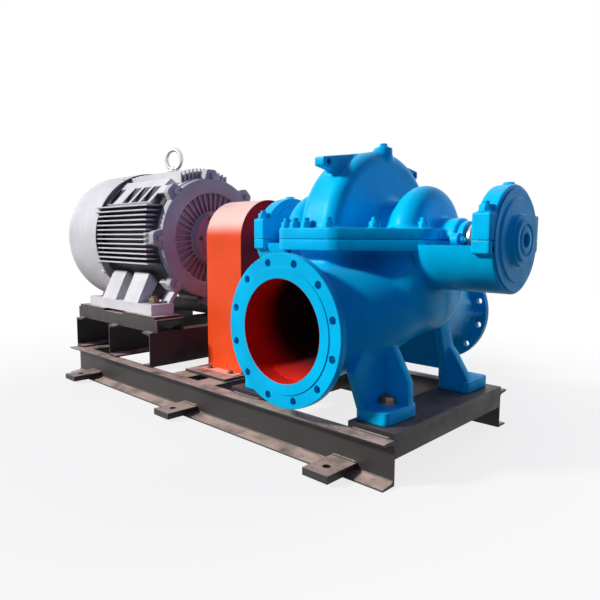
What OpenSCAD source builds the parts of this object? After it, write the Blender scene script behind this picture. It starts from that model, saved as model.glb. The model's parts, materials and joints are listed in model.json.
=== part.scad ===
// Horizontal split case double suction pump with its motor on a steel base.
// Millimetres, +Z up. The origin is on the ground under the shaft axis, at the
// middle of the base. The pump stands at +X and the motor at -X. The suction
// flange faces -Y and the discharge flange faces +Y.

/* [Shaft line] */
// Pump centre plane, from the middle of the base
pump_x = 574; // [560:1:590]
// Middle of the motor feet, from the middle of the base
motor_x = -560; // [-570:1:-545]
// Diameter of the pump shaft
pump_shaft_d = 70; // [55:1:80]
// Diameter of the motor shaft
motor_shaft_d = 80; // [65:1:90]

/* [Base frame] */
// Length of the two rails
base_len = 1810; // [1800:5:1900]
// Height of the rail channel
rail_h = 126; // [100:1:140]
// Flange width of the rail channel
rail_b = 53; // [48:1:60]
// Web thickness of the channels
web_t = 5.5; // [4:0.5:8]
// Flange thickness of the channels
flange_t = 9; // [7:0.5:11]
// Inner face of each rail web, from the centre plane
rail_in = 318.5; // [315:0.5:330]
// Spacing of the anchor lugs along the base
lug_pitch = 740; // [700:5:780]
// Width of an anchor lug
lug_w = 90; // [70:1:110]
// How far an anchor lug stands out from the rail web
lug_reach = 126; // [115:1:140]
// Thickness of an anchor lug
lug_t = 22; // [16:1:28]
// Anchor bolt hole
lug_hole_d = 24; // [18:1:28]
// Anchor hole centre, from the rail web
lug_hole_y = 76; // [72:1:90]
// Width of the channels that are laid flat
beam_w = 126; // [120:1:128]
// Thickness of the sole plates under the pump feet
sole_t = 18; // [12:1:24]
// Length of a sole plate along the shaft
sole_len = 154; // [140:1:160]
// Flange width of the channels that carry the motor
riser_b = 58; // [50:1:64]
// Length of the channels that carry the motor
riser_len = 670; // [655:5:700]
// Length of the two motor beams
beam_len = 687; // [680:1:700]
// Back of the inner motor channel, from the middle of the motor feet
riser_in_x = 307; // [300:1:312]
// Back of the middle motor channel, from the middle of the motor feet
riser_mid_x = 30; // [20:1:40]
// Thickness of the pads under the motor feet
pad_t = 11; // [8:1:16]
// Length of the pads under the fan end of the motor
pad_fan_len = 230; // [210:1:240]
// Length of the pads under the drive end of the motor
pad_drive_len = 252; // [235:1:260]
// Distance of the pads from the ends of the motor beams
pad_inset = 19; // [14:1:24]
// Guard floor plate thickness
guard_plate_t = 10; // [6:1:14]
// Half width of the guard floor plate
guard_plate_y = 241; // [230:1:260]
// Width of the channels under the guard
guard_beam_w = 100; // [80:1:110]
// Flange width of the channels under the guard
guard_beam_b = 48; // [40:1:52]

/* [Suction branch] */
// Suction bore
suc_bore = 300; // [280:1:310]
// Suction flange diameter
suc_od = 445; // [440:1:460]
// Suction bolt circle
suc_pcd = 400; // [395:1:410]
// Suction bolt hole
suc_hole_d = 23; // [18:1:26]
// Suction flange thickness
suc_t = 28; // [22:1:34]
// Suction flange face, from the shaft plane
suc_face = 418; // [410:1:440]
// Suction branch centre, below the shaft
suc_drop = 261; // [255:1:270]

/* [Discharge branch] */
// Discharge bore
dis_bore = 250; // [230:1:260]
// Discharge flange diameter
dis_od = 395; // [390:1:410]
// Discharge bolt circle
dis_pcd = 350; // [345:1:360]
// Discharge bolt hole
dis_hole_d = 23; // [18:1:26]
// Discharge flange thickness
dis_t = 28; // [22:1:34]
// Discharge flange face, from the shaft plane
dis_face = 500; // [480:1:530]
// Discharge branch centre, below the shaft
dis_drop = 275; // [265:1:280]

/* [Pump casing] */
// Shaft height above the pump feet
pump_h = 501; // [495:1:510]
// Outer radius of the volute band
vol_r = 280; // [270:1:285]
// Width of the volute band
vol_w = 150; // [135:1:160]
// Outer radius of the suction domes
dome_r = 162; // [150:1:168]
// End of the suction domes, from the pump centre
dome_x = 262; // [250:1:266]
// Outer radius of the suction chambers
chamber_r = 168; // [160:1:176]
// Chamber axis, below the shaft
chamber_drop = 110; // [100:1:118]
// End of the suction chambers, from the pump centre
chamber_x = 268; // [258:1:276]
// Thickness of each half of the split flange
split_t = 32; // [26:1:38]
// Front and rear edge of the split flange, from the shaft
split_y = 320; // [312:1:330]
// End of the split flange, from the pump centre
split_x = 300; // [290:1:310]
// Half length of the straight front edge of the split flange
split_flat = 102; // [96:1:108]
// Corner radius of the split flange
split_corner = 56; // [40:1:62]
// Outer radius of the stuffing boxes
box_r = 64; // [58:1:70]
// End of the outer stuffing box, from the pump centre
box_x = 338; // [328:1:345]
// End of the drive end stuffing box, from the pump centre
box_drive_x = 314; // [306:1:318]
// Foot centre along the shaft, from the pump centre
foot_x = 237; // [230:1:245]
// Foot width along the shaft
foot_w = 110; // [100:1:116]
// Foot thickness
foot_t = 38; // [30:1:44]
// Inner edge of a foot, from the centre plane
foot_in = 150; // [140:1:158]
// Outer edge of a foot, from the centre plane
foot_out = 304; // [296:1:310]

/* [Pump bearings] */
// Outer radius of the bearing brackets
brk_r = 148; // [142:1:152]
// Wall of the bearing brackets
brk_wall = 26; // [22:1:30]
// Bracket top edge, below the shaft
brk_drop = 14; // [10:1:18]
// Inner face of the drive end bearing, from the pump centre
brg_drive_x = 346; // [342:1:352]
// Inner face of the outer bearing, from the pump centre
brg_outer_x = 438; // [430:1:444]
// Half width over the bearing cap ears
cap_ear_y = 160; // [154:1:168]
// Height of the bearing cap ears above the shaft
cap_ear_z = 71; // [60:1:78]
// Width of a bearing and of its cap, along the shaft
brg_w = 52; // [46:1:58]
// Thickness of the bearing end covers
cover_t = 10; // [8:1:14]
// Gland plate thickness
gland_t = 20; // [14:1:22]

/* [Coupling and guard] */
// Middle of the coupling and of the guard, from the middle of the base
guard_x = -12; // [-16:1:-8]
// Length of the guard
guard_len = 208; // [204:1:212]
// Outer radius of the guard over the shaft
guard_r = 150; // [145:1:156]
// Sheet thickness of the guard
guard_sheet = 3; // [2:0.5:5]
// Width of the foot lips of the guard
guard_lip = 45; // [36:1:52]
// Outer radius of the coupling flanges
coup_r = 110; // [95:1:118]
// Thickness of one coupling flange
coup_t = 42; // [34:1:46]

/* [Motor] */
// Shaft height above the motor feet
motor_h = 315; // [300:1:318]
// Radius of the motor frame under its fins
frame_r = 262; // [256:1:266]
// Radius over the fins
fin_r = 304; // [298:1:305]
// Pitch of the side fins
fin_pitch = 20; // [18:0.5:21]
// Thickness of a fin
fin_t = 6; // [4:0.5:8]
// Length of the motor feet
mfoot_len = 532; // [520:1:545]
// Width of a motor foot
mfoot_w = 107; // [100:1:112]
// Thickness of a motor foot
mfoot_t = 43; // [36:1:48]
// Outer edge of a motor foot, from the centre plane
mfoot_out = 300; // [295:1:306]
// Thickness of the drive end shield
shield_t = 40; // [34:1:44]
// Radius of the drive end hub
hub_r = 112; // [104:1:115]
// Length of the drive end hub
hub_len = 62; // [55:1:68]
// Outer radius of the fan cowl
cowl_r = 310; // [308:1:320]
// Length of the fan cowl
cowl_len = 308; // [290:1:330]
// Sheet thickness of the fan cowl
cowl_sheet = 3; // [1.5:0.5:3]
// Radius over the blades of the cooling fan
fan_r = 232; // [215:1:240]
// Far side of the cooling fan, from the fan end shield
fan_reach = 120; // [110:1:130]
// Near side of the terminal box, from the middle of the motor feet
tbox_x = -160; // [-180:1:-140]
// Width of the terminal box
tbox_w = 180; // [160:1:190]
// Bore of the motor eyebolt
eye_d = 70; // [62:1:76]
// Thickness of the ring of the motor eyebolt
eye_t = 19; // [16:1:22]

/* [Hidden] */
shaft_h = rail_h + sole_t + pump_h;
riser_h = shaft_h - motor_h - rail_h - rail_b - pad_t;
rail_web_y = rail_in + web_t;
beam_y = rail_in - 1.5 - beam_w / 2;
beam_x = motor_x - 9;
guard_x0 = guard_x - guard_len / 2;
guard_x1 = guard_x + guard_len / 2;
guard_floor = rail_h;
frame_x0 = -mfoot_len / 2 + 60;
frame_x1 = mfoot_len / 2 - 12;
shoulder_out = frame_r - 8;
shoulder_in = frame_r - 112;
shield_x = frame_x1 + shield_t;
hub_x = shield_x + hub_len;
nshield_t = 34;
nshield_x = frame_x0 - nshield_t;
cowl_x1 = frame_x0 + 34;
cowl_x0 = cowl_x1 - cowl_len;
tbox_gap = 8;
run_fit = 0.08;
seat = 0.3;
pump_blue = [0.05, 0.45, 0.85];
motor_grey = [0.72, 0.73, 0.75];
base_black = [0.2, 0.18, 0.18];
guard_orange = [0.95, 0.36, 0.16];
steel = [0.7, 0.7, 0.72];

// Which sub-part to build

/* Helpers */

module at_pump() {
    translate([pump_x, 0, shaft_h]) children();
}

module at_motor() {
    translate([motor_x, 0, shaft_h]) children();
}

module xcyl(r, x0, x1, n = 96) {
    translate([x0, 0, 0]) rotate([0, 90, 0]) cylinder(r = r, h = x1 - x0, $fn = n);
}

module ycyl(r, y0, y1, n = 96) {
    translate([0, y0, 0]) rotate([-90, 0, 0]) cylinder(r = r, h = y1 - y0, $fn = n);
}

module box(x0, x1, y0, y1, z0, z1) {
    translate([x0, y0, z0]) cube([x1 - x0, y1 - y0, z1 - z0]);
}

// Channel section, back on the y axis line, flanges to +y
module channel_profile(h, b, tw, tf) {
    polygon([[0, 0], [b, 0], [b, tf], [tw, tf], [tw, h - tf], [b, h - tf], [b, h], [0, h]]);
}

// Channel laid flat with its toes down, along Y, top at z = 0, centred on x
module flat_channel_y(w, h, len) {
    translate([0, len / 2, 0]) rotate([90, 0, 0]) linear_extrude(len)
        polygon([[-w / 2, -h], [-w / 2 + flange_t, -h], [-w / 2 + flange_t, -web_t],
            [w / 2 - flange_t, -web_t], [w / 2 - flange_t, -h], [w / 2, -h], [w / 2, 0], [-w / 2, 0]]);
}

// Drum about X with rounded rims, from -x to x
module drum(r, x, f) {
    rotate([0, 90, 0]) rotate_extrude($fn = 120) {
        translate([0, -x]) square([r - f, 2 * x]);
        translate([0, -x + f]) square([r, 2 * x - 2 * f]);
        translate([r - f, x - f]) circle(r = f, $fn = 48);
        translate([r - f, -x + f]) circle(r = f, $fn = 48);
    }
}

/* Base frame */

module rail() {
    translate([-base_len / 2, 0, 0]) rotate([90, 0, 90]) linear_extrude(base_len)
        translate([rail_in, 0]) channel_profile(rail_h, rail_b, web_t, flange_t);
}

module front_rail() {
    color(base_black) mirror([0, 1, 0]) rail();
}

module rear_rail() {
    color(base_black) rail();
}

module pump_crossbeams() {
    color(base_black) for (s = [-1, 1])
        translate([pump_x + s * (foot_x + 31), 0, rail_h])
            flat_channel_y(beam_w, rail_b, 2 * rail_in);
}

module guard_crossbeams() {
    color(base_black) for (x = [guard_x0 + 10, guard_x1 - 30])
        translate([x, 0, guard_floor - guard_plate_t])
            flat_channel_y(guard_beam_w, guard_beam_b, 2 * rail_in);
}

module motor_end_crossbeam() {
    color(base_black) translate([-base_len / 2 + beam_w / 2, 0, rail_h])
        flat_channel_y(beam_w, rail_b, 2 * rail_in);
}

module anchor_lugs() {
    for (i = [-1, 0, 1]) difference() {
        box(i * lug_pitch - lug_w / 2, i * lug_pitch + lug_w / 2, rail_web_y, rail_web_y + lug_reach,
            flange_t, flange_t + lug_t);
        translate([i * lug_pitch, rail_web_y + lug_hole_y, 0]) cylinder(d = lug_hole_d, h = 80, $fn = 48);
    }
}

module front_anchor_lugs() {
    color(base_black) mirror([0, 1, 0]) anchor_lugs();
}

module rear_anchor_lugs() {
    color(base_black) anchor_lugs();
}

module pump_sole_plates() {
    color(base_black) for (s = [-1, 1])
        translate([pump_x + s * (foot_x + 17), 0, 0])
            box(-sole_len / 2, sole_len / 2, -rail_web_y, rail_web_y, rail_h, rail_h + sole_t);
}

module guard_floor_plate() {
    color(base_black) box(guard_x0 - 30, guard_x1 + 10, -guard_plate_y, guard_plate_y,
        guard_floor - guard_plate_t, guard_floor);
}

// Channel standing across the rails, back at x = 0, flanges to +X
module riser() {
    translate([0, riser_len / 2, rail_h]) rotate([90, 0, 0]) linear_extrude(riser_len)
        channel_profile(riser_h, riser_b, web_t, flange_t);
}

module motor_riser_outer() {
    color(base_black) translate([-base_len / 2, 0, 0]) riser();
}

module motor_riser_middle() {
    color(base_black) translate([motor_x - riser_mid_x, 0, 0]) riser();
}

module motor_riser_inner() {
    color(base_black) translate([motor_x + riser_in_x, 0, 0]) mirror([1, 0, 0]) riser();
}

module motor_beams() {
    color(base_black) for (s = [-1, 1])
        translate([beam_x, s * beam_y, rail_h + riser_h + rail_b])
            rotate([0, 0, 90]) flat_channel_y(beam_w, rail_b, beam_len);
}

module motor_pads() {
    color(base_black) for (s = [-1, 1]) {
        translate([beam_x - beam_len / 2 + pad_inset, s * beam_y, rail_h + riser_h + rail_b])
            box(0, pad_fan_len, -beam_w / 2, beam_w / 2, 0, pad_t);
        translate([beam_x + beam_len / 2 - pad_inset, s * beam_y, rail_h + riser_h + rail_b])
            box(-pad_drive_len, 0, -beam_w / 2, beam_w / 2, 0, pad_t);
    }
}

/* Pump */

module below() {
    box(-700, 700, -700, 700, -700, 0);
}

module above() {
    box(-700, 700, -700, 700, 0, 700);
}

module split_plan() {
    cut = split_corner * tan(22.5);
    slant = cut * sin(45);
    end_y = split_y - split_x + split_flat;
    for (mx = [0, 1], my = [0, 1]) mirror([mx, 0]) mirror([0, my]) {
        polygon([[-1, -1], [split_x, -1], [split_x, end_y - cut], [split_x - slant, end_y + slant],
            [split_flat + slant, split_y - slant], [split_flat - cut, split_y], [-1, split_y]]);
        translate([split_flat - cut, split_y - split_corner]) circle(r = split_corner, $fn = 64);
        translate([split_x - split_corner, end_y - cut]) circle(r = split_corner, $fn = 64);
    }
}

module suction_flange() {
    translate([0, 0, -suc_drop]) ycyl(suc_od / 2, -suc_face + 3, -suc_face + suc_t);
    translate([0, 0, -suc_drop]) ycyl(suc_pcd / 2 - 17, -suc_face, -suc_face + suc_t);
}

module discharge_flange() {
    translate([0, 0, -dis_drop]) ycyl(dis_od / 2, dis_face - dis_t, dis_face - 3);
    translate([0, 0, -dis_drop]) ycyl(dis_pcd / 2 - 16, dis_face - dis_t, dis_face);
}

// Suction branch swelling into the two suction chambers
module suction_branch() {
    y0 = -suc_face + suc_t - 4;
    intersection() {
        hull() {
            translate([0, 0, -suc_drop]) ycyl(suc_bore / 2 + 24, y0, y0 + 16, 32);
            for (s = [-1, 1]) {
                translate([s * 60, -suc_face + 128, -suc_drop + 18]) sphere(r = 146, $fn = 32);
                translate([s * 130, -suc_face + 268, -suc_drop + 56]) sphere(r = 122, $fn = 32);
            }
            translate([0, 20, -178]) xcyl(100, -dome_x + 30, dome_x - 30, 32);
        }
        box(-700, 700, y0, 700, -700, 0);
    }
}

module discharge_branch() {
    hull() {
        translate([0, 0, -dis_drop])
            ycyl(dis_bore / 2 + 22, dis_face - dis_t - 14, dis_face - dis_t + 4, 32);
        translate([0, 60, -150]) xcyl(150, -vol_w / 2 - 30, vol_w / 2 + 30, 32);
    }
}

// Inside of the suction branch, parted by the volute wall
module suction_passage() {
    hull() {
        translate([0, 0, -suc_drop]) ycyl(suc_bore / 2, -suc_face + suc_t + 8, -suc_face + suc_t + 20, 32);
        translate([0, 20, -178]) xcyl(76, -dome_x + 56, dome_x - 56, 32);
    }
}

// Inside of the discharge branch, up to the volute wall
module discharge_passage() {
    hull() {
        translate([0, 0, -dis_drop]) ycyl(dis_bore / 2, dis_face - dis_t - 40, dis_face - dis_t - 20, 32);
        translate([0, 60, -150]) xcyl(100, -vol_w / 2 + 15, vol_w / 2 - 15, 32);
    }
}

// Upright plate of a leg, from a side view outline
module leg_plate(x0, x1, outline) {
    translate([x0, 0, 0]) rotate([90, 0, 90]) linear_extrude(x1 - x0) polygon(outline);
}

// Upright rib across a leg, from an end view outline
module leg_rib(y0, y1, outline) {
    translate([0, y1, 0]) rotate([90, 0, 0]) linear_extrude(y1 - y0) polygon(outline);
}

// Front foot: a web that leans towards the suction flange, and a rib behind the bolt
module front_leg() {
    z = -pump_h + foot_t;
    box(foot_x - foot_w / 2, foot_x + foot_w / 2, -foot_out, -foot_in, -pump_h, z);
    leg_plate(foot_x - 52, foot_x - 24, [[-foot_out + 4, z - 2], [-foot_in - 6, z - 2],
        [-200, -364], [-190, -250], [-270, -250], [-348, -356]]);
    leg_rib(-foot_in - 50, -foot_in - 20, [[foot_x - 40, z - 2], [foot_x + foot_w / 2 - 1, z - 2],
        [foot_x + foot_w / 2 - 4, -398], [foot_x + 7, -318], [foot_x - 40, -250], [foot_x - 80, -250]]);
}

// Rear foot: a web along the foot, and a broad rib under the belly that joins the two rear feet
module rear_leg() {
    z = -pump_h + foot_t;
    box(foot_x - foot_w / 2, foot_x + foot_w / 2, foot_in, foot_out, -pump_h, z);
    leg_rib(foot_in + 16, foot_in + 52, [[foot_x - 60, z - 2], [foot_x + foot_w / 2 - 1, z - 2],
        [foot_x - 7, -374], [foot_x - 79, -288], [foot_x - 110, -230], [-1, -230], [-1, -436],
        [foot_x - 60, -436]]);
    leg_plate(foot_x - 52, foot_x - 24, [[foot_in + 20, z - 2], [foot_out - 40, z - 2], [190, -330], [150, -230],
        [90, -230]]);
}

// Half pipe from the casing, with the seat and the ears of the bearing at x = x0
module bracket(x0) {
    difference() {
        union() {
            difference() {
                xcyl(brk_r, chamber_x - 40, x0 + brg_w);
                box(-700, 700, -700, 700, -brk_drop, 700);
            }
            box(x0, x0 + brg_w, -cap_ear_y, cap_ear_y, -brk_drop - 22, 0);
        }
        xcyl(brk_r - brk_wall, chamber_x + 20, x0 + brg_w + 10);
    }
}

module lower_casing() {
    color(pump_blue) at_pump() difference() {
        union() {
            intersection() {
                union() {
                    drum(vol_r, vol_w / 2, 40);
                    translate([0, 20, -chamber_drop]) drum(chamber_r, chamber_x, 45);
                    xcyl(box_r, -box_drive_x, box_x);
                }
                below();
            }
            translate([0, 0, -split_t]) linear_extrude(split_t) split_plan();
            suction_flange();
            discharge_flange();
            intersection() {
                union() {
                    suction_branch();
                    discharge_branch();
                }
                below();
            }
            for (m = [0, 1]) mirror([m, 0, 0]) {
                front_leg();
                rear_leg();
            }
            bracket(brg_outer_x);
            mirror([1, 0, 0]) bracket(brg_drive_x);
        }
        translate([0, 0, -suc_drop]) ycyl(suc_bore / 2, -suc_face - 10, -suc_face + suc_t + 20);
        translate([0, 0, -dis_drop]) ycyl(dis_bore / 2, dis_face - dis_t - 40, dis_face + 10);
        difference() {
            union() {
                suction_passage();
                discharge_passage();
            }
            drum(vol_r, vol_w / 2, 40);
        }
        for (i = [0 : 11]) {
            translate([0, 0, -suc_drop]) rotate([0, 15 + 30 * i, 0]) translate([suc_pcd / 2, 0, 0])
                ycyl(suc_hole_d / 2, -suc_face - 10, -suc_face + suc_t + 1, 32);
            translate([0, 0, -dis_drop]) rotate([0, 15 + 30 * i, 0]) translate([dis_pcd / 2, 0, 0])
                ycyl(dis_hole_d / 2, dis_face - dis_t - 1, dis_face + 10, 32);
        }
        xcyl(pump_shaft_d / 2 + 8, -700, 700);
    }
}

// Lifting lug on the shoulder of the volute
module lifting_lug() {
    difference() {
        translate([-20, 0, 0]) rotate([90, 0, 90]) linear_extrude(40)
            polygon([[-256, 216], [-256, 242], [-100, 266], [-80, 210], [-190, 180]]);
        translate([0, -232, 229]) xcyl(9, -40, 40, 32);
    }
}

module upper_casing() {
    color(pump_blue) at_pump() difference() {
        union() {
            intersection() {
                union() {
                    drum(vol_r, vol_w / 2, 40);
                    drum(dome_r, dome_x, 55);
                    xcyl(box_r, -box_drive_x, box_x);
                }
                above();
            }
            linear_extrude(split_t) split_plan();
            lifting_lug();
            mirror([0, 1, 0]) lifting_lug();
            translate([48, 0, vol_r - 30]) cylinder(r = 30, h = 43, $fn = 64);
        }
        xcyl(pump_shaft_d / 2 + 8, -700, 700);
    }
}

module vent_plug() {
    color(steel) at_pump() translate([48, 0, vol_r + 13]) {
        cylinder(r = 16, h = 4, $fn = 48);
        translate([0, 0, 4]) cylinder(r = 12, h = 8, $fn = 6);
    }
}

// Gland plate against the end of a stuffing box at x = x0
module gland(x0) {
    difference() {
        union() {
            xcyl(box_r - 10, x0, x0 + gland_t);
            for (s = [-1, 1]) translate([0, s * (box_r - 2), 0]) xcyl(20, x0, x0 + gland_t, 48);
        }
        xcyl(pump_shaft_d / 2 + 1, 0, 700);
    }
}

module drive_gland() {
    color(pump_blue) at_pump() mirror([1, 0, 0]) gland(box_drive_x);
}

module outer_gland() {
    color(pump_blue) at_pump() gland(box_x);
}

module bearing_housing(x0) {
    difference() {
        xcyl(brk_r - brk_wall - seat, x0, x0 + brg_w);
        xcyl(pump_shaft_d / 2 + run_fit, x0 - 10, x0 + brg_w + 10);
    }
}

module drive_bearing_housing() {
    color(pump_blue) at_pump() mirror([1, 0, 0]) bearing_housing(brg_drive_x);
}

module outer_bearing_housing() {
    color(pump_blue) at_pump() bearing_housing(brg_outer_x);
}

// Upper half of the bearing, on the seat and the ears of the bracket
module bearing_cap(x0) {
    difference() {
        union() {
            xcyl(brk_r + 2, x0, x0 + brg_w);
            box(x0, x0 + brg_w, -cap_ear_y, cap_ear_y, 0, cap_ear_z);
            translate([x0 + brg_w / 2, 0, brk_r - 10]) cylinder(r = 15, h = 19, $fn = 48);
        }
        xcyl(brk_r - brk_wall, x0 - 10, x0 + brg_w + 10);
        box(-700, 700, -700, 700, -700, 0);
    }
}

module drive_bearing_cap() {
    color(pump_blue) at_pump() mirror([1, 0, 0]) bearing_cap(brg_drive_x);
}

module outer_bearing_cap() {
    color(pump_blue) at_pump() bearing_cap(brg_outer_x);
}

module drive_bearing_cover() {
    color(pump_blue) at_pump() mirror([1, 0, 0]) difference() {
        union() {
            xcyl(brk_r - 9, brg_drive_x + brg_w, brg_drive_x + brg_w + cover_t);
        }
        xcyl(pump_shaft_d / 2 + 1, 0, 700);
    }
}

module outer_bearing_cover() {
    color(pump_blue) at_pump() translate([brg_outer_x + brg_w, 0, 0]) difference() {
        union() {
            xcyl(brk_r - 9, 0, cover_t - 5);
            xcyl(brk_r - 35, 0, cover_t);
            xcyl(70, 0, cover_t + 12);
            xcyl(58, 0, cover_t + 20);
        }
        difference() {
            xcyl(46, cover_t + 14, 60);
            xcyl(36, 0, 70);
        }
        xcyl(20, cover_t + 6, 60);
        xcyl(pump_shaft_d / 2 + 6, -10, cover_t);
    }
}

module pump_shaft() {
    color(steel) at_pump() {
        xcyl(pump_shaft_d / 2, guard_x + 3 - pump_x, brg_outer_x + brg_w - 1);
        xcyl(pump_shaft_d / 2 + 14, box_x + gland_t + 12, box_x + gland_t + 20);
    }
}

/* Coupling and guard */

module coupling_body() {
    difference() {
        union() {
            xcyl(coup_r, 3, 3 + coup_t);
            xcyl(coup_r * 0.62, 3, 3 + coup_t + 34);
        }
        for (i = [0 : 7]) rotate([45 * i, 0, 0]) translate([0, 0, coup_r - 26]) xcyl(11, 0, 60, 48);
    }
}

module pump_coupling_half() {
    color(steel) translate([guard_x, 0, shaft_h]) difference() {
        coupling_body();
        xcyl(pump_shaft_d / 2, -10, 200);
    }
}

module motor_coupling_half() {
    color(steel) translate([guard_x, 0, shaft_h]) mirror([1, 0, 0]) difference() {
        coupling_body();
        xcyl(motor_shaft_d / 2, -10, 200);
    }
}

module coupling_pins() {
    color(steel) translate([guard_x, 0, shaft_h]) for (i = [0 : 7])
        rotate([45 * i, 0, 0]) translate([0, 0, coup_r - 26]) {
            xcyl(10.8, -coup_t - 3, coup_t + 3, 48);
            xcyl(16, coup_t + 3, coup_t + 11, 6);
            xcyl(16, -coup_t - 11, -coup_t - 3, 6);
        }
}

module guard_profile(r, floor_z) {
    circle(r = r, $fn = 96);
    translate([-r, floor_z]) square([2 * r, -floor_z]);
}

module coupling_guard() {
    floor_z = guard_floor - shaft_h;
    color(guard_orange) translate([guard_x0, 0, shaft_h]) rotate([90, 0, 90]) linear_extrude(guard_len) {
        difference() {
            guard_profile(guard_r, floor_z);
            guard_profile(guard_r - guard_sheet, floor_z - 1);
        }
        for (s = [-1, 1]) translate([s * (guard_r - guard_sheet + guard_lip / 2), floor_z + guard_sheet / 2])
            square([guard_lip, guard_sheet], center = true);
    }
}

module guard_end_plates() {
    floor_z = guard_floor - shaft_h;
    color(guard_orange) for (x = [guard_x0 + 4, guard_x1 - 4 - guard_sheet])
        translate([x, 0, shaft_h]) rotate([90, 0, 90]) linear_extrude(guard_sheet) difference() {
            guard_profile(guard_r - guard_sheet - seat, floor_z);
            circle(r = motor_shaft_d / 2 + 12, $fn = 96);
        }
}

/* Motor */

module side_fins() {
    for (i = [-5 : 7]) translate([0, 0, fin_pitch * i - fin_pitch / 4])
        box(frame_x0 + 8, frame_x1 - 10, -fin_r * cos(asin(min(0.9, abs(fin_pitch * i) / fin_r * 0.55))),
            -200, -fin_t / 2, fin_t / 2);
}

module top_fins() {
    for (i = [-6 : 6]) translate([0, fin_pitch * i, 0])
        box(frame_x0 + 8, frame_x1 - 20, -fin_t / 2, fin_t / 2, 150,
            sqrt(fin_r * fin_r - pow(fin_pitch * i, 2)));
}

// Foot bar, with two slanted legs along its outer edge and three short ribs along its inner edge
module motor_foot() {
    z0 = -motor_h;
    z1 = z0 + mfoot_t;
    inner = -mfoot_out + mfoot_w;
    box(-mfoot_len / 2, mfoot_len / 2, -mfoot_out, inner, z0, z1);
    for (x = [-0.276, 0.075]) translate([x * mfoot_len, 0, 0]) rotate([90, 0, 90])
        linear_extrude(0.22 * mfoot_len)
            polygon([[-mfoot_out + 1, z1 - 2], [-mfoot_out + 50, z1 - 2], [-186, -172], [-238, -148]]);
    for (x = [-0.394, 0.004, 0.36]) translate([x * mfoot_len, 0, 0]) rotate([90, 0, 90])
        linear_extrude(0.116 * mfoot_len)
            polygon([[inner - 18, z1 - 2], [inner - 1, z1 - 2], [-132, -200], [-164, -206]]);
}

module motor_frame() {
    color(motor_grey) at_motor() difference() {
        union() {
            xcyl(frame_r, frame_x0, frame_x1);
            for (m = [0, 1]) mirror([0, m, 0]) {
                side_fins();
                motor_foot();
                translate([frame_x0 + 8, 0, 0]) rotate([90, 0, 90]) linear_extrude(frame_x1 - frame_x0 - 60)
                    polygon([[-shoulder_out, shoulder_in], [-shoulder_in, shoulder_out],
                        [-shoulder_in + 30, shoulder_out - 24], [-shoulder_out + 24, shoulder_in - 30]]);
            }
            top_fins();
            for (i = [0 : 7]) rotate([45 * i, 0, 0]) translate([frame_x1 - 52, -24, frame_r - 40])
                cube([52, 48, 66]);
            translate([0, 0, frame_r - 20]) cylinder(r = 34, h = fin_r - frame_r + 22, $fn = 48);
            box(tbox_x + 12, tbox_x + tbox_w - 12, frame_r - 40, fin_r + tbox_gap, 12, tbox_w - 16);
        }
        for (m = [0, 1]) mirror([0, m, 0]) for (x = [-171, -36, 42, 120])
            translate([x, 0, 0]) rotate([90, 0, 90]) linear_extrude(60)
                polygon([[-shoulder_out - 8, shoulder_in + 2], [-shoulder_out + 28, shoulder_in + 2],
                    [-shoulder_in - 30, shoulder_out - 34], [-shoulder_in - 40, shoulder_out - 22]]);
        difference() {
            xcyl(cowl_r + 6, cowl_x0 - 50, cowl_x1 + 6);
            xcyl(fin_r, frame_x0, frame_x1);
        }
        xcyl(motor_shaft_d / 2 + 10, -700, 700);
    }
}

module drive_end_shield() {
    color(motor_grey) at_motor() difference() {
        union() {
            xcyl(frame_r - 4, frame_x1, shield_x - 16);
            difference() {
                xcyl(frame_r - 4, shield_x - 17, shield_x);
                xcyl(frame_r - 68, shield_x - 30, shield_x + 10);
            }
            xcyl(hub_r + 4, shield_x - 17, shield_x);
            for (i = [0 : 39]) rotate([9 * i + 4.5, 0, 0])
                box(shield_x - 18, shield_x - 2, -3, 3, hub_r, frame_r - 66);
            for (i = [0 : 7]) rotate([45 * i, 0, 0]) translate([frame_x1, 0, 0]) rotate([90, 0, 90])
                linear_extrude(shield_t - 6) polygon([[-40, frame_r - 30], [40, frame_r - 30],
                    [20, frame_r + 34], [-20, frame_r + 34]]);
        }
        xcyl(motor_shaft_d / 2 + run_fit, 0, 700);
    }
}

module drive_end_hub() {
    color(motor_grey) at_motor() difference() {
        union() {
            xcyl(hub_r, shield_x, hub_x - 22);
            xcyl(hub_r - 20, hub_x - 23, hub_x);
        }
        xcyl(motor_shaft_d / 2 + 1, 0, 700);
    }
}

module fan_end_shield() {
    color(motor_grey) at_motor() difference() {
        union() {
            xcyl(fin_r + 1, nshield_x, frame_x0);
            xcyl(100, nshield_x - 20, frame_x0);
        }
        xcyl(motor_shaft_d / 2 + run_fit, -700, 0);
    }
}

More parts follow.
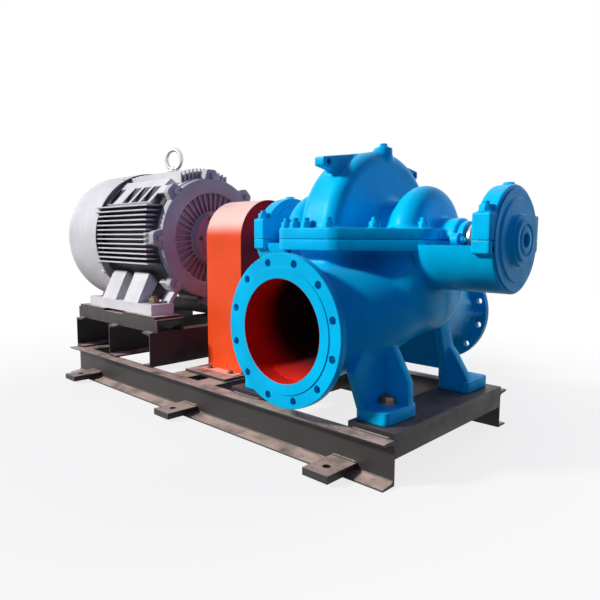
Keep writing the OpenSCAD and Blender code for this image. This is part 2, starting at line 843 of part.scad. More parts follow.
module fan_cowl() {
    ri = cowl_r - cowl_sheet;
    color(motor_grey) at_motor() difference() {
        union() {
            difference() {
                union() {
                    xcyl(cowl_r, cowl_x0 + 40, cowl_x1);
                    xcyl(cowl_r - 40, cowl_x0, cowl_x1);
                    translate([cowl_x0 + 40, 0, 0]) rotate([0, 90, 0]) rotate_extrude($fn = 120)
                        translate([cowl_r - 40, 0]) circle(r = 40, $fn = 48);
                }
                union() {
                    xcyl(ri, cowl_x0 + 40, cowl_x1 + 10);
                    xcyl(cowl_r - 40, cowl_x0 + cowl_sheet, cowl_x1);
                    translate([cowl_x0 + 40, 0, 0]) rotate([0, 90, 0]) rotate_extrude($fn = 120)
                        translate([cowl_r - 40, 0]) circle(r = 40 - cowl_sheet, $fn = 48);
                }
            }
            difference() {
                xcyl(ri + 1, nshield_x - cowl_sheet, nshield_x);
                xcyl(fin_r - 14, nshield_x - 20, nshield_x + 20);
            }
        }
        difference() {
            for (r = [80 : 24 : 248]) difference() {
                xcyl(r + 15, cowl_x0 - 10, cowl_x0 + 10);
                xcyl(r, cowl_x0 - 20, cowl_x0 + 20);
            }
            for (i = [0 : 5]) rotate([60 * i, 0, 0]) box(cowl_x0 - 30, cowl_x0 + 30, -7, 7, 0, 400);
        }
    }
}

module cooling_fan() {
    color(motor_grey) at_motor() translate([nshield_x - fan_reach, 0, 0]) difference() {
        union() {
            xcyl(66, 0, 60);
            xcyl(fan_r - 22, 50, 58);
            for (i = [0 : 8]) rotate([40 * i, 0, 0]) box(0, 54, -4, 4, 50, fan_r);
        }
        xcyl(motor_shaft_d / 2 - 8, -20, 80);
    }
}

module motor_shaft() {
    color(steel) at_motor() {
        xcyl(motor_shaft_d / 2, nshield_x - 40, guard_x - 3 - motor_x);
        xcyl(motor_shaft_d / 2 - 8, nshield_x - fan_reach - 4, nshield_x - 30);
    }
}

module motor_eyebolt() {
    color(steel) at_motor() translate([0, 0, fin_r + 2]) {
        cylinder(r = 28, h = 10, $fn = 48);
        cylinder(r = 14, h = 20, $fn = 48);
        translate([0, 0, 14 + eye_d / 2 + eye_t / 2]) rotate([90, 0, 15]) rotate_extrude($fn = 64)
            translate([eye_d / 2 + eye_t / 2, 0]) circle(d = eye_t, $fn = 32);
    }
}

module terminal_box() {
    color(motor_grey) at_motor() {
        box(tbox_x, tbox_x + tbox_w, fin_r + tbox_gap, fin_r + 110, 0, tbox_w - 4);
        translate([tbox_x + tbox_w / 2, fin_r + 55, -30]) cylinder(r = 34, h = 40, $fn = 48);
    }
}

module terminal_box_lid() {
    color(motor_grey) at_motor() box(tbox_x - 8, tbox_x + tbox_w + 8, fin_r + 110, fin_r + 128,
        -8, tbox_w + 4);
}

front_rail();
rear_rail();
pump_crossbeams();
guard_crossbeams();
motor_end_crossbeam();
front_anchor_lugs();
rear_anchor_lugs();
pump_sole_plates();
guard_floor_plate();
motor_riser_outer();
motor_riser_middle();
motor_riser_inner();
motor_beams();
motor_pads();
lower_casing();
upper_casing();
vent_plug();
drive_gland();
outer_gland();
drive_bearing_housing();
outer_bearing_housing();
drive_bearing_cap();
outer_bearing_cap();
drive_bearing_cover();
outer_bearing_cover();
pump_shaft();
pump_coupling_half();
motor_coupling_half();
coupling_pins();
coupling_guard();
guard_end_plates();
motor_frame();
drive_end_shield();
drive_end_hub();
fan_end_shield();
fan_cowl();
cooling_fan();
motor_shaft();
motor_eyebolt();
terminal_box();
terminal_box_lid();
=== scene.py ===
import bpy
import bmesh
import json
import math
import numpy as np
from mathutils import Matrix, Vector


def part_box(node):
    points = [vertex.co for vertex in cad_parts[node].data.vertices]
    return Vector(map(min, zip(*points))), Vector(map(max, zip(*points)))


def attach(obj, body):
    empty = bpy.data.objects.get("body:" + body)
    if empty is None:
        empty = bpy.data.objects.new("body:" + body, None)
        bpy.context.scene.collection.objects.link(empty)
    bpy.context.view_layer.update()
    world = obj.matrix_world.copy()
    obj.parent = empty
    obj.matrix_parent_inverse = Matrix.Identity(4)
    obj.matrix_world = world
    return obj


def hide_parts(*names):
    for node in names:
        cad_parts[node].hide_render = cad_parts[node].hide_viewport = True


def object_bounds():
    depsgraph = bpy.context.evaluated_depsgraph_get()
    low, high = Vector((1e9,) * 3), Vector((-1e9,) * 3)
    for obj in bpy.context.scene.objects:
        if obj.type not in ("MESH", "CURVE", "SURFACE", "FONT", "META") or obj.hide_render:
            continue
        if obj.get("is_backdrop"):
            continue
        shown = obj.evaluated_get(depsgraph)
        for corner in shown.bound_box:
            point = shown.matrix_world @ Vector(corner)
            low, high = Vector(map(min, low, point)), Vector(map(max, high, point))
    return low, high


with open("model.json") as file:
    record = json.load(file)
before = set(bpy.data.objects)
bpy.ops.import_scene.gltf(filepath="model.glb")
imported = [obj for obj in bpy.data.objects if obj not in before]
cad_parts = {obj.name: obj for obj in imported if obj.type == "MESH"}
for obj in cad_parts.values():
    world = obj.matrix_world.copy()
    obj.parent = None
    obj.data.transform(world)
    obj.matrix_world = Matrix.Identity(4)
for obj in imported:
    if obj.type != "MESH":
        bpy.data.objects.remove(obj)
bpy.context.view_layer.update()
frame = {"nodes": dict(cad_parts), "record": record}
scene = bpy.context.scene
nodes = frame["nodes"]


# Places, from the frame. Shapes are written in millimetres from the pump's or the motor's centre.
def middle(node):
    lo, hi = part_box(node)
    return (lo + hi) / 2


SHAFT_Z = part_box("upper_casing")[0].z
PUMP = Vector((middle("pump_sole_plates").x, 0, SHAFT_Z))
MOTOR = Vector((middle("motor_frame").x, 0, SHAFT_Z))
GROUND = Vector((0, 0, 0))
MM = 0.001

# Pump sizes in millimetres
VOLUTE_R, VOLUTE_W, VOLUTE_ROUND = 280, 150, 42
DOME_R, DOME_X, DOME_ROUND = 162, 262, 49
CORE_R, CORE_X, CORE_ROUND = 120, DOME_X - 12, 30
CHAMBER_R, CHAMBER_X, CHAMBER_Y, CHAMBER_Z, CHAMBER_ROUND = 168, 268, 20, -110, 50
SPLIT_T, SPLIT_X, SPLIT_Y, SPLIT_FLAT, SPLIT_CORNER = 32, 300, 320, 102, 56
STUFFING_R, STUFFING_OUT, STUFFING_DRIVE = 64, 338, -314
BRACKET_R, BRACKET_WALL, BRACKET_TOP = 148, 26, -14
BRACKET_IN, BRACKET_ROOT, BRACKET_WEB = 258, 330, 288
OUTER_END = (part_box("outer_bearing_cap")[1].x - PUMP.x) / MM
DRIVE_END = (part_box("drive_bearing_cap")[0].x - PUMP.x) / MM
BEARING_W = (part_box("outer_bearing_cap")[1].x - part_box("outer_bearing_cap")[0].x) / MM
FOOT_Z, FOOT_T, FOOT_X, FOOT_W, FOOT_IN, FOOT_OUT = -501, 38, 237, 110, 150, 304
# Branches. wide and hollow are the far ends of wall and bore: y, z, radius, half width of the flat.
SUCTION = dict(z=-261, bore=150, wall=24, od=222.5, pcd=400, count=12, hole=11.5, face=-418, t=28,
               raised=183, start=-394, swell=-372, collar=(187, -398, -391), fillet=22,
               wide=(20, -178, 100, 165), hollow=(20, -178, 76, 118))
DISCHARGE = dict(z=-275, bore=125, wall=22, od=197.5, pcd=350, count=12, hole=11.5, face=500, t=28,
                 raised=159, start=478, swell=436, collar=(162, 473, 480), fillet=20,
                 wide=(60, -150, 150, 100), hollow=(60, -150, 100, 40))
# Radii of the soft fillets where the casting's forms meet
FILLET = dict(dome=30, boss=16, lug=12, stuffing=14, split=16, chamber=40, suction=46, discharge=42,
              neck_rib=12, bracket=18, leg=12, volute=10)
# How far the skinned casting lies under the plates and troughs that are laid over it
UNDER, LEG_UNDER = 1.2, 4


# Materials
class Shader:
    """A principled material whose nodes are added one call at a time."""

    def __init__(self, name):
        self.mat = bpy.data.materials.new(name)
        self.mat.use_nodes = True
        self.tree = self.mat.node_tree
        self.bsdf = self.tree.nodes["Principled BSDF"]
        self.coord = self.add("ShaderNodeTexCoord").outputs["Object"]

    def add(self, kind, *values, **props):
        n = self.tree.nodes.new(kind)
        for k, v in props.items():
            setattr(n, k, v)
        for i, v in enumerate(values):
            if v is not None:
                self.put(n.inputs[i], v)
        return n

    def put(self, socket, v):
        if isinstance(v, bpy.types.NodeSocket):
            self.tree.links.new(v, socket)
        else:
            socket.default_value = v

    def set(self, **values):
        for k, v in values.items():
            self.put(self.bsdf.inputs[k.replace("_", " ").title()], v)

    def math(self, op, a, b=0.0, clamp=False):
        return self.add("ShaderNodeMath", a, b, operation=op, use_clamp=clamp).outputs[0]

    def noise(self, scale, detail=3.0, rough=0.55, stretch=None):
        at = self.coord
        if stretch:
            at = self.add("ShaderNodeMapping", at, None, None, stretch).outputs[0]
        return self.add("ShaderNodeTexNoise", at, None, scale, detail, rough).outputs["Fac"]

    def ramp(self, fac, lo, hi):
        """Smooth step of fac from lo to hi."""
        n = self.add("ShaderNodeMapRange", fac, lo, hi, 0.0, 1.0, interpolation_type="SMOOTHSTEP")
        return n.outputs[0]

    def mix(self, fac, a, b):
        n = self.tree.nodes.new("ShaderNodeMix")
        n.data_type = "RGBA"
        self.put(n.inputs[0], fac)
        for socket, c in ((n.inputs[6], a), (n.inputs[7], b)):
            self.put(socket, (*c, 1) if isinstance(c, tuple) else c)
        return n.outputs[2]

    def up(self, lo=0.6, hi=0.95):
        """1 where the surface looks up."""
        z = self.add("ShaderNodeSeparateXYZ", self.add("ShaderNodeNewGeometry").outputs["Normal"]).outputs[2]
        return self.ramp(z, lo, hi)

    def corners(self, reach):
        """1 in corners that other faces close in, within reach in metres."""
        ao = self.add("ShaderNodeAmbientOcclusion", None, reach, samples=6).outputs["AO"]
        return self.math("SUBTRACT", 1.0, ao, True)

    def edges(self, radius):
        """1 along sharp edges."""
        soft = self.add("ShaderNodeBevel", radius, samples=4).outputs[0]
        hard = self.add("ShaderNodeNewGeometry").outputs["Normal"]
        dot = self.add("ShaderNodeVectorMath", soft, hard, operation="DOT_PRODUCT").outputs["Value"]
        return self.ramp(self.math("SUBTRACT", 1.0, dot), 0.01, 0.12)


def times(c, k):
    return tuple(min(1.0, v * k) for v in c)


DUST, SAND = (0.33, 0.27, 0.235), (0.60, 0.46, 0.38)
# The third colour is painted shade, for the deep inside of the suction bore
BLUE, RED, BORE_SHADE = (0.0, 0.57, 0.96), (0.85, 0.022, 0.012), (0.030, 0.010, 0.013)
GREY, PALE_GREY = (0.74, 0.74, 0.745), (0.80, 0.80, 0.81)
# The second orange is a painted sheen, for the guard's rounded top
ORANGE, ORANGE_SHEEN, OLD_ORANGE = (0.98, 0.085, 0.012), (0.95, 0.62, 0.52), (0.35, 0.05, 0.02)
# Painted shade: a crimson copy of the guard's orange, for its end plates that lie in shade
SHADED_END_RED = (0.98, 0.025, 0.035)
# Motor frame in metres from its axis: where painted shade in the gaps between the fins and in the shoulder
# # pockets gives way to light, and where the shoulders begin in height and in width
FIN_GAP_SHADE, SHOULDER, SHOULDER_Z, SHOULDER_Y = (0.262, 0.293), (0.2835, 0.2855), (0.15, 0.17), (0.170, 0.178)


def cast_paint(name, color, rough=0.36, dust=0.12, chip=(0.10, 0.07, 0.05), deep=None):
    """Thick enamel over cast iron: sand texture, soft waves, painted shade in corners and a few bare spots.
    deep gives the two places along y between which it darkens to near black: painted shade deep inside a
    bore."""
    s = Shader(name)
    cloud = s.noise(5.0, 4.0)
    grain = s.noise(260.0, 2.0)
    c = s.mix(s.ramp(cloud, 0.35, 0.7), times(color, 0.84), times(color, 1.06))
    c = s.mix(s.math("MULTIPLY", s.up(0.75, 1.0), s.math("MULTIPLY", s.noise(14.0, 5.0), dust)), c, DUST)
    # Painted shade: darker where other faces close in a corner
    c = s.mix(s.math("MULTIPLY", s.ramp(s.corners(0.045), 0.45, 0.95), 0.55), c, times(color, 0.25))
    spots = s.math("MULTIPLY", s.ramp(s.noise(38.0, 6.0, 0.7), 0.70, 0.74), s.ramp(s.noise(3.0), 0.5, 0.7))
    c = s.mix(s.math("MULTIPLY", spots, 0.7), c, chip)
    # Painted shade: near black deep inside a bore, past the places in deep
    if deep:
        y = s.add("ShaderNodeSeparateXYZ", s.coord).outputs[1]
        c = s.mix(s.ramp(y, *deep), c, BORE_SHADE)
    r = s.add("ShaderNodeMapRange", s.noise(22.0, 5.0), 0.3, 0.75, rough - 0.06, rough + 0.14).outputs[0]
    b = s.add("ShaderNodeBump", 0.14, 0.0012, 1.0, grain).outputs[0]
    b = s.add("ShaderNodeBump", 0.3, 0.005, 1.0, s.noise(20.0, 2.0), b).outputs[0]
    s.set(base_color=c, roughness=r, normal=b, coat_weight=0.06, coat_roughness=0.35)
    s.set(specular_tint=(*times(color, 1.1), 1))
    s.bsdf.inputs["Specular IOR Level"].default_value = 0.14
    return s.mat


def plate_paint(name, color, rough=0.4, dust=0.25, worn=None, wear=0.0, corner_shade=0.5, edge=0.0015, fins=None,
                coat=0.0, gloss=0.3, dust_color=DUST, top_sheen=None):
    """Paint on plate and sheet. fins gives the two radii from the motor axis between which painted shade in
    the gaps between the fins gives way to light, as SHOULDER does for painted shade in the pockets of its
    shoulders.
    top_sheen is the colour of a painted sheen where the surface looks up."""
    s = Shader(name)
    cloud = s.noise(4.0, 5.0, 0.6)
    c = s.mix(s.ramp(cloud, 0.3, 0.7), times(color, 0.86), times(color, 1.08))
    # Painted shade: dark in the gaps between the fins and in the shoulder pockets, by radius from the motor
    # axis
    if fins:
        p = s.add("ShaderNodeSeparateXYZ", s.coord).outputs
        y2 = s.math("POWER", s.math("ABSOLUTE", p[1]), 2.0)
        z2 = s.math("POWER", s.math("ABSOLUTE", s.math("SUBTRACT", p[2], SHAFT_Z)), 2.0)
        radius = s.math("SQRT", s.math("ADD", y2, z2))
        high = s.ramp(s.math("SUBTRACT", p[2], SHAFT_Z), *SHOULDER_Z)
        low = s.math("SUBTRACT", 1.0, high)
        light = s.math("MULTIPLY", s.ramp(radius, *fins), low)
        inner = s.math("SUBTRACT", 1.0, s.ramp(s.math("ABSOLUTE", p[1]), *SHOULDER_Y))
        shoulder = s.math("MAXIMUM", s.ramp(radius, *SHOULDER), inner)
        light = s.math("ADD", light, s.math("MULTIPLY", shoulder, high))
        c = s.mix(light, times(color, 0.10), c)
    # Painted sheen: pale pink over the colour where the surface looks up
    if top_sheen:
        c = s.mix(s.math("MULTIPLY", s.up(0.04, 0.5), s.ramp(s.noise(6.0, 4.0), 0.0, 0.5)), c, top_sheen)
    up = s.math("MULTIPLY", s.up(), s.math("MULTIPLY", s.ramp(s.noise(9.0, 6.0, 0.65), 0.22, 0.62), dust))
    c = s.mix(up, c, dust_color)
    # Painted shade: darker where other faces close in a corner
    c = s.mix(s.math("MULTIPLY", s.ramp(s.corners(0.04), 0.5, 0.95), corner_shade), c, times(color, 0.2))
    if worn:
        scratch = s.noise(60.0, 5.0, 0.7, (0.12, 1.0, 1.0))
        mask = s.math("MULTIPLY", s.edges(edge * 2), s.ramp(s.noise(24.0, 4.0), 0.35, 0.6))
        mask = s.math("MAXIMUM", mask, s.math("MULTIPLY", s.ramp(scratch, 0.66, 0.75), 0.45))
        c = s.mix(s.math("MULTIPLY", mask, wear), c, worn)
    r = s.add("ShaderNodeMapRange", s.noise(16.0, 5.0), 0.3, 0.75, rough - 0.08, rough + 0.15).outputs[0]
    b = s.add("ShaderNodeBevel", edge, samples=4).outputs[0]
    b = s.add("ShaderNodeBump", 0.15, 0.0008, 1.0, s.noise(420.0, 2.0), b).outputs[0]
    b = s.add("ShaderNodeBump", 0.15, 0.004, 1.0, s.noise(7.0, 2.0), b).outputs[0]
    s.set(base_color=c, roughness=r, normal=b, coat_weight=coat, coat_roughness=0.2)
    s.bsdf.inputs["Specular IOR Level"].default_value = gloss
    return s.mat


def bare_metal(name, color, rough=0.3, metal=1.0, turned=True, stain=(0.12, 0.09, 0.07), stained=0.3):
    """Machined steel or iron with fine lathe lines and some oily staining."""
    s = Shader(name)
    stains = s.math("MULTIPLY", s.ramp(s.noise(18.0, 6.0, 0.65), 0.5, 0.75), stained)
    c = s.mix(stains, color, stain)
    # Painted shade: darker where other faces close in a corner
    c = s.mix(s.math("MULTIPLY", s.ramp(s.corners(0.03), 0.5, 0.95), 0.6), c, times(stain, 0.4))
    r = s.add("ShaderNodeMapRange", s.noise(30.0, 4.0), 0.3, 0.75, rough - 0.08, rough + 0.2).outputs[0]
    lines = s.noise(900.0, 2.0, 0.5, (1.0, 0.05, 0.05) if turned else None)
    b = s.add("ShaderNodeBevel", 0.001, samples=4).outputs[0]
    b = s.add("ShaderNodeBump", 0.2, 0.0004, 1.0, lines, b).outputs[0]
    s.set(base_color=c, roughness=r, normal=b, metallic=metal)
    return s.mat


MATS = {
    "base_paint": plate_paint("base_paint", (0.038, 0.033, 0.033), 0.42, 0.95, (0.20, 0.15, 0.12), 0.55,
                              dust_color=SAND),
    "pump_paint": cast_paint("pump_paint", BLUE),
    "motor_paint": plate_paint("motor_paint", GREY, 0.42, 0.12, PALE_GREY, 0.25, 0.75, 0.002, FIN_GAP_SHADE,
                               gloss=0.2),
    "guard_paint": plate_paint("guard_paint", ORANGE, 0.36, 0.10, OLD_ORANGE, 0.2, coat=0.06, gloss=0.2,
                               top_sheen=ORANGE_SHEEN),
    "zinc_steel": bare_metal("zinc_steel", (0.60, 0.60, 0.58), 0.34, turned=False),
    "shaft_steel": bare_metal("shaft_steel", (0.55, 0.55, 0.56), 0.25),
    "coupling_iron": bare_metal("coupling_iron", (0.16, 0.16, 0.17), 0.42, 0.8),
    "fan_plastic": plate_paint("fan_plastic", (0.02, 0.02, 0.022), 0.5, 0.3),
}
# Red lining that darkens to painted shade deep inside the suction bore
RED_PAINT = cast_paint("red_lining", RED, 0.4, 0.05, deep=(-0.38, -0.25))
SMOOTH_GREY = plate_paint("smooth_grey", GREY, 0.45, 0.10, PALE_GREY, 0.2, 0.6, 0.002, gloss=0.1)
# Painted shade: a darker copy of the motor grey for the drive end shield, which faces away from the key light
SHADED_SHIELD_GREY = plate_paint("shield_grey", times(GREY, 0.72), 0.5, 0.10, GREY, 0.2, 0.8, 0.002, gloss=0.08)
# Painted shade: a darker, less dusty copy of the base paint for the parts under the pump
SHADED_BASE = plate_paint("base_under_pump", (0.016, 0.014, 0.016), 0.4, 0.25, (0.16, 0.12, 0.10), 0.4)
# Painted shade: a crimson, nearly matt copy of the guard's paint for its end plates, which lie in shade
SHADED_END_PAINT = plate_paint("guard_end_paint", SHADED_END_RED, 0.6, 0.08, OLD_ORANGE, 0.2, 0.2, gloss=0.02)
BOLT_STEEL = bare_metal("bolt_steel", (0.20, 0.15, 0.12), 0.5, 0.7, False, (0.10, 0.05, 0.03), 0.7)

slots = {s["node"]: s["material_slot"] for s in frame["record"]["subparts"]}
for name, o in nodes.items():
    o.data.materials.clear()
    o.data.materials.append(MATS[slots[name]])
for name in ("fan_cowl", "fan_end_shield", "terminal_box", "terminal_box_lid"):
    nodes[name].data.materials[0] = SMOOTH_GREY
for name in ("drive_end_shield", "drive_end_hub"):
    nodes[name].data.materials[0] = SHADED_SHIELD_GREY
nodes["guard_end_plates"].data.materials[0] = SHADED_END_PAINT
nodes["pump_sole_plates"].data.materials[0] = SHADED_BASE


# Mesh helpers: a shape is (points, faces) in millimetres
def merge(*shapes):
    pts, faces, n = [], [], 0
    for p, f in shapes:
        pts.append(np.asarray(p, float))
        faces += [[i + n for i in q] for q in f]
        n += len(p)
    return np.concatenate(pts), faces


def moved(shape, at=(0, 0, 0), axis=None, mirror=(1, 1, 1), spin=0.0):
    """The shape turned so that its z looks along axis, then mirrored and moved to at."""
    p, f = np.asarray(shape[0], float), shape[1]
    if spin:
        p = p @ np.array(Matrix.Rotation(spin, 3, "Z")).T
    if axis is not None:
        p = p @ np.array(Vector((0, 0, 1)).rotation_difference(Vector(axis)).to_matrix()).T
    p = p * mirror
    if np.prod(mirror) < 0:
        f = [q[::-1] for q in f]
    return p + np.array(at, float), f


def piece(name, shape, slot, origin=PUMP, mats=None, index=None, body="set", replaces=(), angle=35,
          tidy=True):
    """Visible object of a shape. angle is the least corner that stays sharp; tidy makes its normals agree."""
    pts, faces = shape
    me = bpy.data.meshes.new(name)
    me.from_pydata((np.asarray(pts) * MM).tolist(), [], [list(map(int, q)) for q in faces])
    if tidy:
        bm = bmesh.new()
        bm.from_mesh(me)
        bmesh.ops.recalc_face_normals(bm, faces=bm.faces)
        bm.to_mesh(me)
        bm.free()
    for m in mats or [MATS[slot]]:
        me.materials.append(m)
    if index is not None:
        me.polygons.foreach_set("material_index", np.asarray(index, np.int32))
    me.shade_smooth()
    me.set_sharp_from_angle(angle=math.radians(angle))
    o = bpy.data.objects.new(name, me)
    o.location = origin
    scene.collection.objects.link(o)
    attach(o, body)
    if replaces:
        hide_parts(*replaces)
    return o


def rounded_outline(pts, radii, n=6):
    """Closed outline with each corner rounded by its radius."""
    out = []
    radii = [radii] * len(pts) if np.isscalar(radii) else radii
    for i, (p, r) in enumerate(zip(pts, radii)):
        p, a, b = (np.array(q, float) for q in (p, pts[i - 1], pts[(i + 1) % len(pts)]))
        if r <= 0:
            out.append(tuple(p))
            continue
        u, v = (a - p) / np.linalg.norm(a - p), (b - p) / np.linalg.norm(b - p)
        half = math.acos(np.clip(u @ v, -1, 1)) / 2
        t = r / math.tan(half)
        c = p + (u + v) / np.linalg.norm(u + v) * (r / math.sin(half))
        s, e = p + u * t - c, p + v * t - c
        turn = math.atan2(s[0] * e[1] - s[1] * e[0], s @ e)
        for k in range(n + 1):
            w = turn * k / n
            cos, sin = math.cos(w), math.sin(w)
            out.append((c[0] + s[0] * cos - s[1] * sin, c[1] + s[0] * sin + s[1] * cos))
    return out


def inset(pts, d):
    """Outline moved inwards by d; the outline runs anticlockwise."""
    p = np.array(pts, float)
    e = np.roll(p, -1, 0) - p
    e /= np.maximum(np.linalg.norm(e, axis=1), 1e-9)[:, None]
    n = np.stack([-e[:, 1], e[:, 0]], 1)
    m = n + np.roll(n, 1, 0)
    m /= np.maximum((m * m).sum(1), 0.3)[:, None] / 2
    return p + m * d


def turns(n):
    """n even angles round a full circle."""
    return [2 * math.pi * k / n for k in range(n)]


def tube(n, rows):
    """Faces of a closed tube: its two ends and the bands between its rows of n points."""
    faces = [list(range(n))[::-1], list(range(n * (rows - 1), n * rows))]
    for i in range(rows - 1):
        for j in range(n):
            k = (j + 1) % n
            faces.append([i * n + j, i * n + k, (i + 1) * n + k, (i + 1) * n + j])
    return faces


def prism(outline, a0, a1, bevel=2.0, order=(0, 1, 2), steps=2):
    """Outline carried from a0 to a1 with bevelled ends. order gives the axes of its u and v and of a."""
    p = np.array(outline, float)
    if (p[:, 0] * np.roll(p[:, 1], -1) - np.roll(p[:, 0], -1) * p[:, 1]).sum() < 0:
        p = p[::-1]
    rings = []
    for k in range(steps + 1):
        w = math.pi / 2 * k / steps
        rings.append((inset(p, bevel * (1 - math.sin(w))), a0 + bevel * (1 - math.cos(w))))
    rings += [(q, a0 + a1 - a) for q, a in reversed(rings)]
    n = len(p)
    pts = np.zeros((n * len(rings), 3))
    for i, (q, a) in enumerate(rings):
        pts[i * n:(i + 1) * n, order[0]] = q[:, 0]
        pts[i * n:(i + 1) * n, order[1]] = q[:, 1]
        pts[i * n:(i + 1) * n, order[2]] = a
    return pts, tube(n, len(rings))


def lathe(profile, n=64):
    """Profile of (z, r) turned about z. Points with r = 0 close the ends."""
    pts, rows = [], []
    for z, r in profile:
        if r <= 0:
            rows.append([len(pts)])
            pts.append((0, 0, z))
        else:
            rows.append(list(range(len(pts), len(pts) + n)))
            pts += [(r * math.cos(w), r * math.sin(w), z) for w in turns(n)]
    faces = []
    for a, b in zip(rows, rows[1:]):
        for k in range(n):
            q = [a[k % len(a)], a[(k + 1) % len(a)], b[(k + 1) % len(b)], b[k % len(b)]]
            faces.append(list(dict.fromkeys(q)))
    return np.array(pts), [q for q in faces if len(q) > 2]


def ring(profile, n=64):
    """Closed profile of (z, r) turned about z."""
    return lathe(list(profile) + [profile[0]], n)


def nut(af, h):
    """Hexagon with its top corners turned off, standing on z = 0."""
    r, c = af / math.sqrt(3), af * 0.49
    n = 24
    pts = []
    for z, cap in ((0, r), (h * 0.82, r), (h, c)):
        for w in turns(n):
            flat = af / 2 / math.cos((w + math.pi / 6) % (math.pi / 3) - math.pi / 6)
            pts.append((min(flat, cap) * math.cos(w), min(flat, cap) * math.sin(w), z))
    return np.array(pts), tube(n, 3)


def rod(r, z0, z1, chamfer=1.0, n=16):
    return lathe([(z0, 0), (z0, r), (z1 - chamfer, r), (z1, r - chamfer), (z1, 0)], n)


def washer(r, h):
    return lathe([(0, 0), (0, r), (h * 0.6, r), (h, r - h * 0.4), (h, 0)], 24)


def stud(d, sink, proud):
    """Stud with nut and washer; the seat is at z = 0."""
    return merge(washer(d * 1.08, d * 0.16), moved(nut(d * 1.55, d * 0.85), (0, 0, d * 0.16), spin=0.3),
                 rod(d / 2, -sink, d * 1.01 + proud))


def bolt(d, turn=0.0):
    """Hexagon head with a washer; the seat is at z = 0."""
    return merge(washer(d * 1.05, d * 0.16), moved(nut(d * 1.55, d * 0.66), (0, 0, d * 0.16), spin=turn))


def bolt_circle(count, d, at, turn, start=0.0):
    """Bolts at even angles about z. The first stands at the point at, turned on by start of a step."""
    step = 2 * math.pi / count
    return merge(*[moved(moved(bolt(d, turn * k), at), spin=step * (k + start)) for k in range(count)])


# Castings: distance fields in millimetres, joined with soft fillets and skinned
def smin(a, b, k):
    h = np.clip(0.5 + 0.5 * (b - a) / k, 0, 1)
    return b + (a - b) * h - k * h * (1 - h)


def smax(a, b, k):
    return -smin(-a, -b, k)


def rounded(d, h, f):
    """Shape with section distance d and end distance h, its edges rounded by f."""
    d, h = d + f, h + f
    return np.minimum(np.maximum(d, h), 0) + np.hypot(np.maximum(d, 0), np.maximum(h, 0)) - f


def drum(a, u, v, r, a0, a1, f):
    """Cylinder along a, about u = v = 0."""
    return rounded(np.hypot(u, v) - r, np.abs(a - (a0 + a1) / 2) - (a1 - a0) / 2, f)


def block(x, y, z, x0, x1, y0, y1, z0, z1, f):
    q = [np.abs(p - (a + b) / 2) - (b - a) / 2 + f for p, a, b in ((x, x0, x1), (y, y0, y1), (z, z0, z1))]
    out = np.sqrt(sum(np.maximum(p, 0) ** 2 for p in q))
    return out + np.minimum(np.maximum(np.maximum(q[0], q[1]), q[2]), 0) - f


def polygon(u, v, pts):
    """Distance to an outline in the plane of u and v."""
    d, s = None, np.ones_like(u)
    for i in range(len(pts)):
        ax, ay = pts[i]
        ex, ey = pts[i - 1][0] - ax, pts[i - 1][1] - ay
        wx, wy = u - ax, v - ay
        t = np.clip((wx * ex + wy * ey) / (ex * ex + ey * ey), 0, 1)
        q = (wx - ex * t) ** 2 + (wy - ey * t) ** 2
        d = q if d is None else np.minimum(d, q)
        c = np.stack([v >= ay, v < ay + ey, ex * wy > ey * wx])
        s = np.where(c.all(0) | (~c).all(0), -s, s)
    return s * np.sqrt(d)


def slab(u, v, a, pts, a0, a1, f):
    """Outline in u and v, carried along a, with its edges rounded by f."""
    return rounded(polygon(u, v, pts), np.abs(a - (a0 + a1) / 2) - (a1 - a0) / 2, f)


def branch(x, y, z, start, end, bulge=False):
    """Pipe that goes from a round end to a wide one. Each end is (y, z, radius, half width of its flat)."""
    t = np.clip((y - start[0]) / (end[0] - start[0]), 0, 1)
    zc, r = (start[i] + (end[i] - start[i]) * t for i in (1, 2))
    w = start[3] + (end[3] - start[3]) * (1 - (1 - t) ** 2 if bulge else t)
    side = np.hypot(np.maximum(np.abs(x) - w, 0), z - zc)
    past = np.maximum((y - end[0]) * np.sign(end[0] - start[0]), 0)
    before = (start[0] - y) * np.sign(end[0] - start[0])
    return np.maximum((np.hypot(side, past) - r) * 0.94, before)


